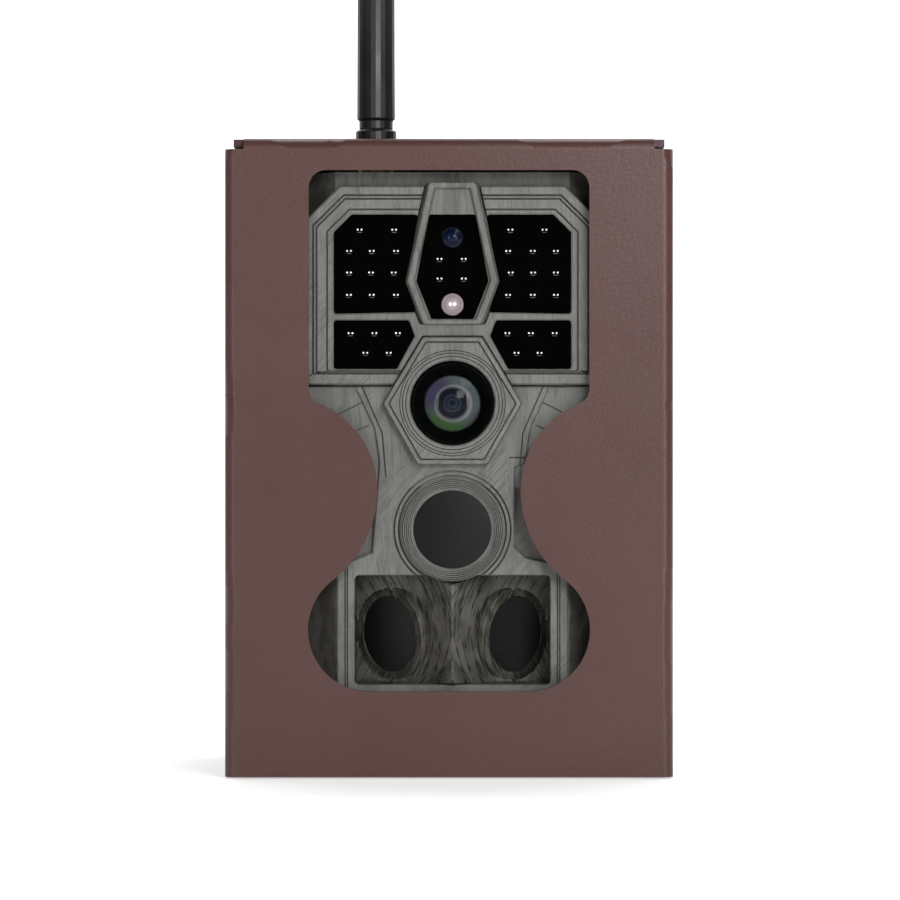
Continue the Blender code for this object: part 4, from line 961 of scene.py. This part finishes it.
def saddle_depth(x, z):
    """How far back the saddle's surface is: two leaning faces that meet in a ridge, a well for the tube on
    each side and a flared foot. Its border stands up as the pocket's walls."""
    x, above = abs(x), math.hypot(x, z - SENSOR[1])
    if x > 25.7 or not 24.1 < z < 52.8 and above > 14.2:
        return -37.6
    depth = RIDGE + 0.9 + math.tan(YAW) * math.hypot(x, 0.5)
    depth = soft_least(depth, RIDGE + 9.5 + 0.2 * x, 3.0)
    face = plane_depth(x, z, EYE, AIM)
    spot = Vector((x, face, z)) - EYE
    radius = (spot - AIM * spot.dot(AIM)).length
    if radius < 12.0:
        depth = max(depth, face) + 3.2
    foot = RIDGE - 0.6 + 1.2225 * math.hypot(x, 0.4) + 0.3 * (z - 24.5) + 0.05 * max(z - 27.0, 0) ** 2
    if radius > 12.3:
        depth = soft_least(depth, foot, 0.7)
    if above < 14.2:
        depth = max(depth, -38.0)
    return min(max(depth, RIDGE - 0.9), -15.6)


def saddle():
    """The saddle as a closed solid, its front sampled every 0.4 mm."""
    columns, rows = 128, 70
    left, right, low, high = -25.84, 25.84, 24.02, 52.88
    bm = bmesh.new()
    front = []
    for j in range(rows + 1):
        z = low + (high - low) * j / rows
        row = []
        for i in range(columns + 1):
            x = left + (right - left) * i / columns
            row.append(bm.verts.new((CAM_X + x, saddle_depth(x, z), z)))
        front.append(row)
    for a, b in zip(front, front[1:]):
        for i in range(columns):
            bm.faces.new((a[i], a[i + 1], b[i + 1], b[i]))
    edge = front[0][:] + [row[-1] for row in front[1:]]
    edge += front[-1][-2::-1] + [row[0] for row in front[-2:0:-1]]
    back = [bm.verts.new((vert.co.x, -14.6, vert.co.z)) for vert in edge]
    for i in range(len(edge)):
        j = (i + 1) % len(edge)
        bm.faces.new((edge[j], edge[i], back[i], back[j]))
    bm.faces.new(back)
    bmesh.ops.recalc_face_normals(bm, faces=bm.faces)
    return bm


bark_saddle, shader, where = new_look("bark_saddle")
across_x, across_z = radial(where, (CAM_X, 0, 38.0))[1:]
bow = maths("MULTIPLY", maths("POWER", maths("ABSOLUTE", across_z), 2.0), 0.022)
line = maths("SUBTRACT", maths("ABSOLUTE", across_x), bow)
grain_at = node("CombineXYZ", None, X=line, Y=maths("MULTIPLY", across_z, 0.09), Z=0.0).outputs[0]
grain = noise(grain_at, 1.5, 5, 0.62, 0.9)
soft = noise(where, 130, 3, 0.55, 0.6)
colour = blend(soft, 0.35, 0.65, (0.06, 0.056, 0.046), (0.11, 0.107, 0.092))
colour = blend(grain, 0.54, 0.38, colour, (0.012, 0.011, 0.008))
fine = noise(where, 2400, 2)
gloss = spread(soft, 0.3, 0.7, 0.42, 0.55)
finish_look(shader, colour, gloss, maths("ADD", grain, fine), 0.00003, Specular_IOR_Level=0.4)
bodies = [saddle()]
tube = [(10.15, 4.0), (10.15, 0.1), (10.3, -0.1), (11.6, -0.15), (12.1, -0.3), (12.5, -0.35), (12.8, -0.15)]
tube += [(13.0, 0.3), (13.1, 1.0), (13.2, 5.0)]
for side, word in ((-1, "left"), (1, "right")):
    aim = Vector((side * AIM.x, AIM.y, AIM.z))
    tilt = Vector((0, -1, 0)).rotation_difference(aim).to_matrix().to_4x4()
    stand = Matrix.Translation((CAM_X + side * EYE.x, EYE.y, EYE.z)) @ tilt
    ring = turned(tube, (0, 0, 0), "Y", 72, True)
    ring.transform(stand)
    bodies.append(cut(ring, block((CAM_X - 25.6, CAM_X + 25.6), (-60, -14.8), (24.2, 52.7)), how="INTERSECT"))
    disc = turned(lens_disc(10.1, 0.5, 1.0, 1.2), (0, 0, 0), "Y", 64)
    disc.transform(stand)
    # Painted light: the side discs sit shaded in the pocket, so they get a copy 2.2 times as bright, lighter
    # towards the right.
    look = sensor_black(f"sensor_disc_{word}", side * EYE.x - 7, side * EYE.x + 7, 2.2)
    piece(f"sensor_disc_{word}", disc, "camera_front", "sensor_lens", look, [f"pir_lens_{word}"], crease=45)
saddle_body = joined(*bodies)
piece("sensor_saddle", saddle_body, "camera_front", BARK_PLASTIC, bark_saddle, ["sensor_block"], crease=50)

# Antenna: a glass-filled plastic whip on a knurled collar that turns on its coaxial socket, whose brass nut
# clamps the case top. A thin black lead runs from the socket down to the radio.


def moulded(name, dark, light, rough=0.5, shine=0.4, scale=1400.0):
    """Moulded plastic or rubber: a fine spark-eroded grain, and soft clouds of handling."""
    made, shader, where = new_look(name)
    clouds = noise(where, 45, 3, 0.55, 0.5)
    grain = noise(where, scale, 3, 0.6)
    tone = blend(clouds, 0.3, 0.7, dark, light)
    tone = blend(grain, 0.5, 0.8, tone, tuple(1.5 * c for c in light), 0.35)
    gloss = spread(clouds, 0.3, 0.7, rough - 0.06, rough + 0.08)
    finish_look(shader, tone, gloss, grain, 0.000012, Specular_IOR_Level=shine)
    return made


whip_black = moulded("whip_black", (0.0035, 0.004, 0.0045), (0.006, 0.0068, 0.0075), 0.34, 0.5)
for name in ("antenna_base", "antenna_mast"):
    eased(name, whip_black, 0.2)
eased("antenna_connector", brass, 0.08)
eased("antenna_lead", moulded("lead_jacket", (0.008, 0.008, 0.008), (0.014, 0.014, 0.014), 0.45), 0)
WHIP_X, WHIP_Y = -19.6, -20.0
around = round_row((WHIP_X, WHIP_Y, 164.6), 5.36, 40)
small_parts("antenna_knurl", ridge(0.2, 0.3, 1.6), around, "antenna", "black_plastic", whip_black)
band = [(5.0, -0.25), (5.2, -0.15), (5.2, 0.15), (5.0, 0.25)]
bands = joined(*(turned(band, (WHIP_X, WHIP_Y, z), "Z", 40, True) for z in (233.5, 235.0, 236.5)))
piece("antenna_bands", bands, "antenna", "black_plastic", whip_black)

# Batteries: eight alkaline cells in two rows of four, every other one upside down, each a steel can in a
# printed plastic sleeve. They sit in a moulded tray with a rubber seal round the case's edge.


def cell_sleeve(name, low, high, band_low):
    """Bare steel at both ends, a copper-coloured band at the plus end and dark film over the rest."""
    made, shader, where = new_look(name)
    up = node("SeparateXYZ", None, Vector=where).outputs[2]
    along = maths("DIVIDE", maths("SUBTRACT", up, low * MM), (high - low) * MM)
    if not band_low:
        along = maths("SUBTRACT", 1.0, along)
    scuff = noise(where, 240, 4, 0.6)
    dark = tint(scuff, (0.012, 0.012, 0.014), (0.02, 0.02, 0.023))
    copper = tint(scuff, (0.42, 0.17, 0.06), (0.52, 0.23, 0.09))
    steel = tint(scuff, (0.5, 0.5, 0.5), (0.62, 0.62, 0.61))
    tone = blend(along, 0.29, 0.3, copper, dark)
    ends = maths("ADD", spread(along, 0.055, 0.05), spread(along, 0.975, 0.98))
    tone = tint(ends, tone, steel)
    bare = maths("MAXIMUM", ends, spread(along, 0.3, 0.29, 0.0, 0.8))
    finish_look(shader, tone, spread(scuff, 0.3, 0.7, 0.25, 0.4), scuff, 0.000006, Metallic=bare)
    return made


ends = {"low": (34.4, 85.0), "high": (87.8, 138.2)}
sleeves = {}
for row, (low, high) in ends.items():
    for flip in (0, 1):
        sleeves[row, flip] = cell_sleeve(f"cell_{row}_{flip}", low, high, flip)
for i in range(8):
    eased(f"battery_{i + 1}", sleeves["low" if i < 4 else "high", i % 2], 0.12)
liner = moulded("liner_grey", (0.028, 0.029, 0.03), (0.042, 0.043, 0.044), 0.5)
for name in ("battery_holder", "control_panel", "pir_bracket"):
    eased(name, liner, 0.25)
eased("shell_seal", moulded("seal_black", (0.006, 0.006, 0.006), (0.011, 0.011, 0.011), 0.62, 0.25), 0.2)

# Controls: a colour display under a hard-coated window, five rubber-sprung buttons in a cross, a slide
# switch and a memory card, all reached through the panel when the camera is swung open.

made, shader, where = new_look("display_glass")
SCREEN_Z, SCREEN_WIDE, SCREEN_HIGH = 117.5, 39.0, 29.4
parts = node("SeparateXYZ", None, Vector=where)
inside = []
for place, centre, length in ((0, CAM_X, SCREEN_WIDE), (2, SCREEN_Z, SCREEN_HIGH)):
    away = maths("ABSOLUTE", maths("SUBTRACT", parts.outputs[place], centre * MM))
    inside.append(spread(away, length / 2 * MM, (length / 2 - 0.2) * MM))
inside = maths("MULTIPLY", *inside)
smear = noise(where, 70, 3, 0.6, 0.8)
active = tint(smear, (0.012, 0.016, 0.024), (0.018, 0.024, 0.034))
border = tint(smear, (0.002, 0.002, 0.002), (0.004, 0.004, 0.004))
tone = tint(inside, border, active)
finish_look(shader, tone, spread(smear, 0.3, 0.7, 0.06, 0.16), Coat_Weight=0.4, Coat_Roughness=0.04)
eased("lcd_screen", made, 0.15)
key_black = moulded("key_rubber", (0.01, 0.01, 0.011), (0.016, 0.016, 0.018), 0.52, 0.35)
for word in ("up", "down", "left", "right", "ok"):
    eased(f"button_{word}", key_black, 0.25)
eased("power_switch", key_black, 0.2)
rib = block((-0.25, 0.25), (-0.25, 0.2), (-1.6, 1.6))
spots = unturned((34.9 + x, 11.0, 76.5) for x in (-1.5, 0, 1.5))
small_parts("power_switch_ribs", rib, spots, "power_switch", "black_plastic", key_black, edge=0.08)
eased("sd_card", moulded("card_black", (0.012, 0.014, 0.022), (0.02, 0.023, 0.034), 0.42), 0.2)
finger = block((-0.75, 0.75), (-0.06, 0.03), (-1.9, 1.9))
spots = unturned((17.7 + 2.3 * i, 5.32, 58.2) for i in range(9))
small_parts("sd_card_contacts", finger, spots, "sd_card", "brass", brass)
head = cut(turned([(0, 0), (2.1, 0), (2.1, 0.35), (1.7, 0.75), (0, 0.75)], (0, 0, 0), "Z", 24),
           block((-1.2, 1.2), (-0.25, 0.25), (0.4, 1.0)), block((-0.25, 0.25), (-1.2, 1.2), (0.4, 1.0)))
head.transform(Matrix.Rotation(math.radians(-90), 4, "X"))
spots = unturned((x, 9.95, z) for x in (-38.5, 40.3) for z in (22.5, 86.0, 150.0))
front_parts("panel_screws", head, spots, "zinc_steel", zinc, crease=25)

# Circuit boards: glass-epoxy laminate with green solder mask. The main board stands behind the panel with its
# shielded radio, the sensor board behind the motion sensors, and the lamp board behind the windows.


def laminate(name):
    """Green solder mask over copper, with tracks that run up and across and a speckle of tinned pads."""
    made, shader, where = new_look(name)
    flat = node("Mapping", None, Vector=where, Scale=(1.0, 0.02, 1.0)).outputs[0]
    cells = node("TexVoronoi", {"distance": "CHEBYCHEV", "feature": "F1"}, Vector=flat, Scale=420.0)
    steps = node("TexVoronoi", {"distance": "MANHATTAN", "feature": "F2"}, Vector=flat, Scale=190.0)
    tracks = maths("PINGPONG", maths("MULTIPLY", steps.outputs["Distance"], 9.0), 0.5)
    tone = blend(tracks, 0.2, 0.28, (0.006, 0.035, 0.014), (0.012, 0.062, 0.024))
    pads = spread(cells.outputs["Distance"], 0.14, 0.1)
    chosen = spread(noise(flat, 200, 2), 0.55, 0.58)
    tone = tint(maths("MULTIPLY", pads, chosen), tone, (0.45, 0.43, 0.38))
    gloss = spread(noise(where, 300), 0.3, 0.7, 0.25, 0.38)
    finish_look(shader, tone, gloss, tracks, 0.00002)
    return made


board_green = laminate("solder_mask")
for name in ("main_board", "sensor_board", "led_board"):
    eased(name, board_green, 0)
chip_black = moulded("chip_epoxy", (0.008, 0.008, 0.009), (0.013, 0.013, 0.014), 0.45)
chip = block((-2.4, 2.4), (0, 0.9), (-2.4, 2.4))
resistor = joined(block((-0.9, 0.9), (0, 0.45), (-0.45, 0.45)), block((-1.1, -0.7), (0, 0.52), (-0.5, 0.5)),
                  block((0.7, 1.1), (0, 0.52), (-0.5, 0.5)))
places = [(-35, 138), (-35, 118), (-34, 98), (-30, 60), (-30, 40), (-14, 40), (2, 36), (34, 140), (35, 104)]
places.append((-12, 148))
BOARD = "circuit_board"
MASK_Y = 3.98  # the main board's face that carries the chips
spots = unturned((x, MASK_Y, z) for x, z in places)
front_parts("main_board_chips", chip, spots, BOARD, chip_black, edge=0.12)
on_end = (0, math.radians(90), 0)
around = [(x - 3.6 + 2.4 * i, z + aside) for x, z in places for i in range(4) for aside in (-4.6, 4.6)]
front_parts("main_board_parts", resistor, [(Vector((x, MASK_Y, z)), on_end) for x, z in around], BOARD, zinc)
can = turned([(0, 0), (2.5, 0), (2.5, 0.8), (2.3, 1.0), (2.3, 4.2), (2.0, 4.5), (0, 4.5)], (0, 0, 0), "Z", 20)
can.transform(Matrix.Rotation(math.radians(90), 4, "X"))
spots = unturned((x, 2.42, z) for x, z in ((-34, 50), (-34, 44), (-27, 47), (36, 60), (36, 54)))
front_parts("main_board_cans", can, spots, BOARD, zinc, crease=30)
spots = []
for i in range(12):
    turn = (0, math.radians(90 * (i % 2)), 0)
    spots += [(Vector((CAM_X + x, -15.42, 58 + 4.2 * i)), turn) for x in (-9, -5, 5, 9)]
front_parts("sensor_board_parts", resistor, spots, BOARD, zinc)
dome = turned([(0, -0.95), (0.5, -0.85), (0.9, -0.6), (0.9, -0.3), (0, -0.3)], (0, 0, 0), "Y", 12)
package = joined(block((-1.4, 1.4), (-0.5, 0), (-1.4, 1.4)), dome)
spots = unturned((x, -34.48, z) for x, z in lamp_spots)
lamp_cream = moulded("lamp_package", (0.3, 0.3, 0.28), (0.4, 0.4, 0.37), 0.35)
front_parts("led_board_lamps", package, spots, BOARD, lamp_cream, crease=30)

# Optics inside: the lens barrel, a focusing thread in black aluminium, and behind it the infrared filter, a
# pinkish glass plate that a solenoid slides aside at night. Three metal-canned sensors look out.

eased("lens_barrel", moulded("barrel_black", (0.009, 0.009, 0.01), (0.015, 0.015, 0.016), 0.4), 0.12)
made, shader, where = new_look("filter_glass")
film = noise(where, 90, 3, 0.5, 0.6)
tone = blend(film, 0.3, 0.7, (0.16, 0.045, 0.06), (0.09, 0.06, 0.11))
finish_look(shader, tone, spread(film, 0.3, 0.7, 0.05, 0.12), Coat_Weight=0.5)
eased("ir_cut_filter", made, 0.08)
for word in ("front", "left", "right"):
    eased(f"pir_sensor_{word}", zinc, 0.12)

# Floor, lamps and camera: a pale sweep that glows a little, a key lamp high on the right, a soft sheen
# from the front, an upright strip on each side, a wash on the backdrop, and the camera a little over a
# metre away.

made, shader, where = new_look("studio_paper")
fibre = noise(where, 60, 3, 0.5)
paper = tint(fibre, (0.82, 0.82, 0.82), (0.86, 0.86, 0.86))
gloss = spread(fibre, 0.3, 0.7, 0.85, 0.95)
finish_look(shader, paper, gloss, Emission_Color=paper, Emission_Strength=0.58)
profile = [(-2.6, 0.0), (0.9, 0.0), *arc((0.9, 0.6), 0.6, -90, 0, 12)[1:], (1.5, 3.4)]
bm = bmesh.new()
rows = [[bm.verts.new((x, y, z - 0.0004)) for x in (-3.0, 3.0)] for y, z in profile]
for a, b in zip(rows, rows[1:]):
    bm.faces.new((a[0], a[1], b[1], b[0]))
mesh = bpy.data.meshes.new("studio_sweep")
bm.to_mesh(mesh)
mesh.shade_smooth()
mesh.materials.append(made)
sweep = bpy.data.objects.new("studio_sweep", mesh)
bpy.context.scene.collection.objects.link(sweep)


def lamp(name, at, target, size, power, colour=(1, 1, 1)):
    data = bpy.data.lights.new(name, "AREA")
    data.shape = "RECTANGLE"
    data.size, data.size_y = size
    data.energy = power
    data.color = colour
    made = bpy.data.objects.new(name, data)
    made.location = at
    made.rotation_euler = (Vector(target) - Vector(at)).to_track_quat("-Z", "Y").to_euler()
    bpy.context.scene.collection.objects.link(made)


lamp("key", (0.36, -0.72, 0.7), (0.02, 0, 0.12), (0.34, 0.34), 2.9)
lamp("sheen", (0.3, -1.25, 0.45), (0.02, 0, 0.12), (0.25, 0.25), 4.3)
lamp("strip_right", (0.46, -1.0, 0.12), (0, 0, 0.09), (0.04, 0.6), 2.1)
lamp("strip_left", (-0.44, -1.0, 0.12), (0, 0, 0.09), (0.04, 0.6), 1.5)
lamp("wash", (0, 0.9, 2.2), (0, 1.5, 0.5), (3.0, 0.8), 31)
world = bpy.data.worlds.new("studio")
world.use_nodes = True
set_inputs(world.node_tree.nodes["Background"], {"Color": (1, 1, 1, 1), "Strength": 0.07})
bpy.context.scene.world = world
bpy.context.scene.view_settings.view_transform = "Standard"
data = bpy.data.cameras.new("camera")
data.lens, data.sensor_width = 171.3, 36.0
data.clip_start = 0.05
camera = bpy.data.objects.new("camera", data)
camera.location = (0.00026, -1.171, 0.086)
camera.rotation_euler = (math.pi / 2, 0, 0)
bpy.context.scene.collection.objects.link(camera)
bpy.context.scene.camera = camera
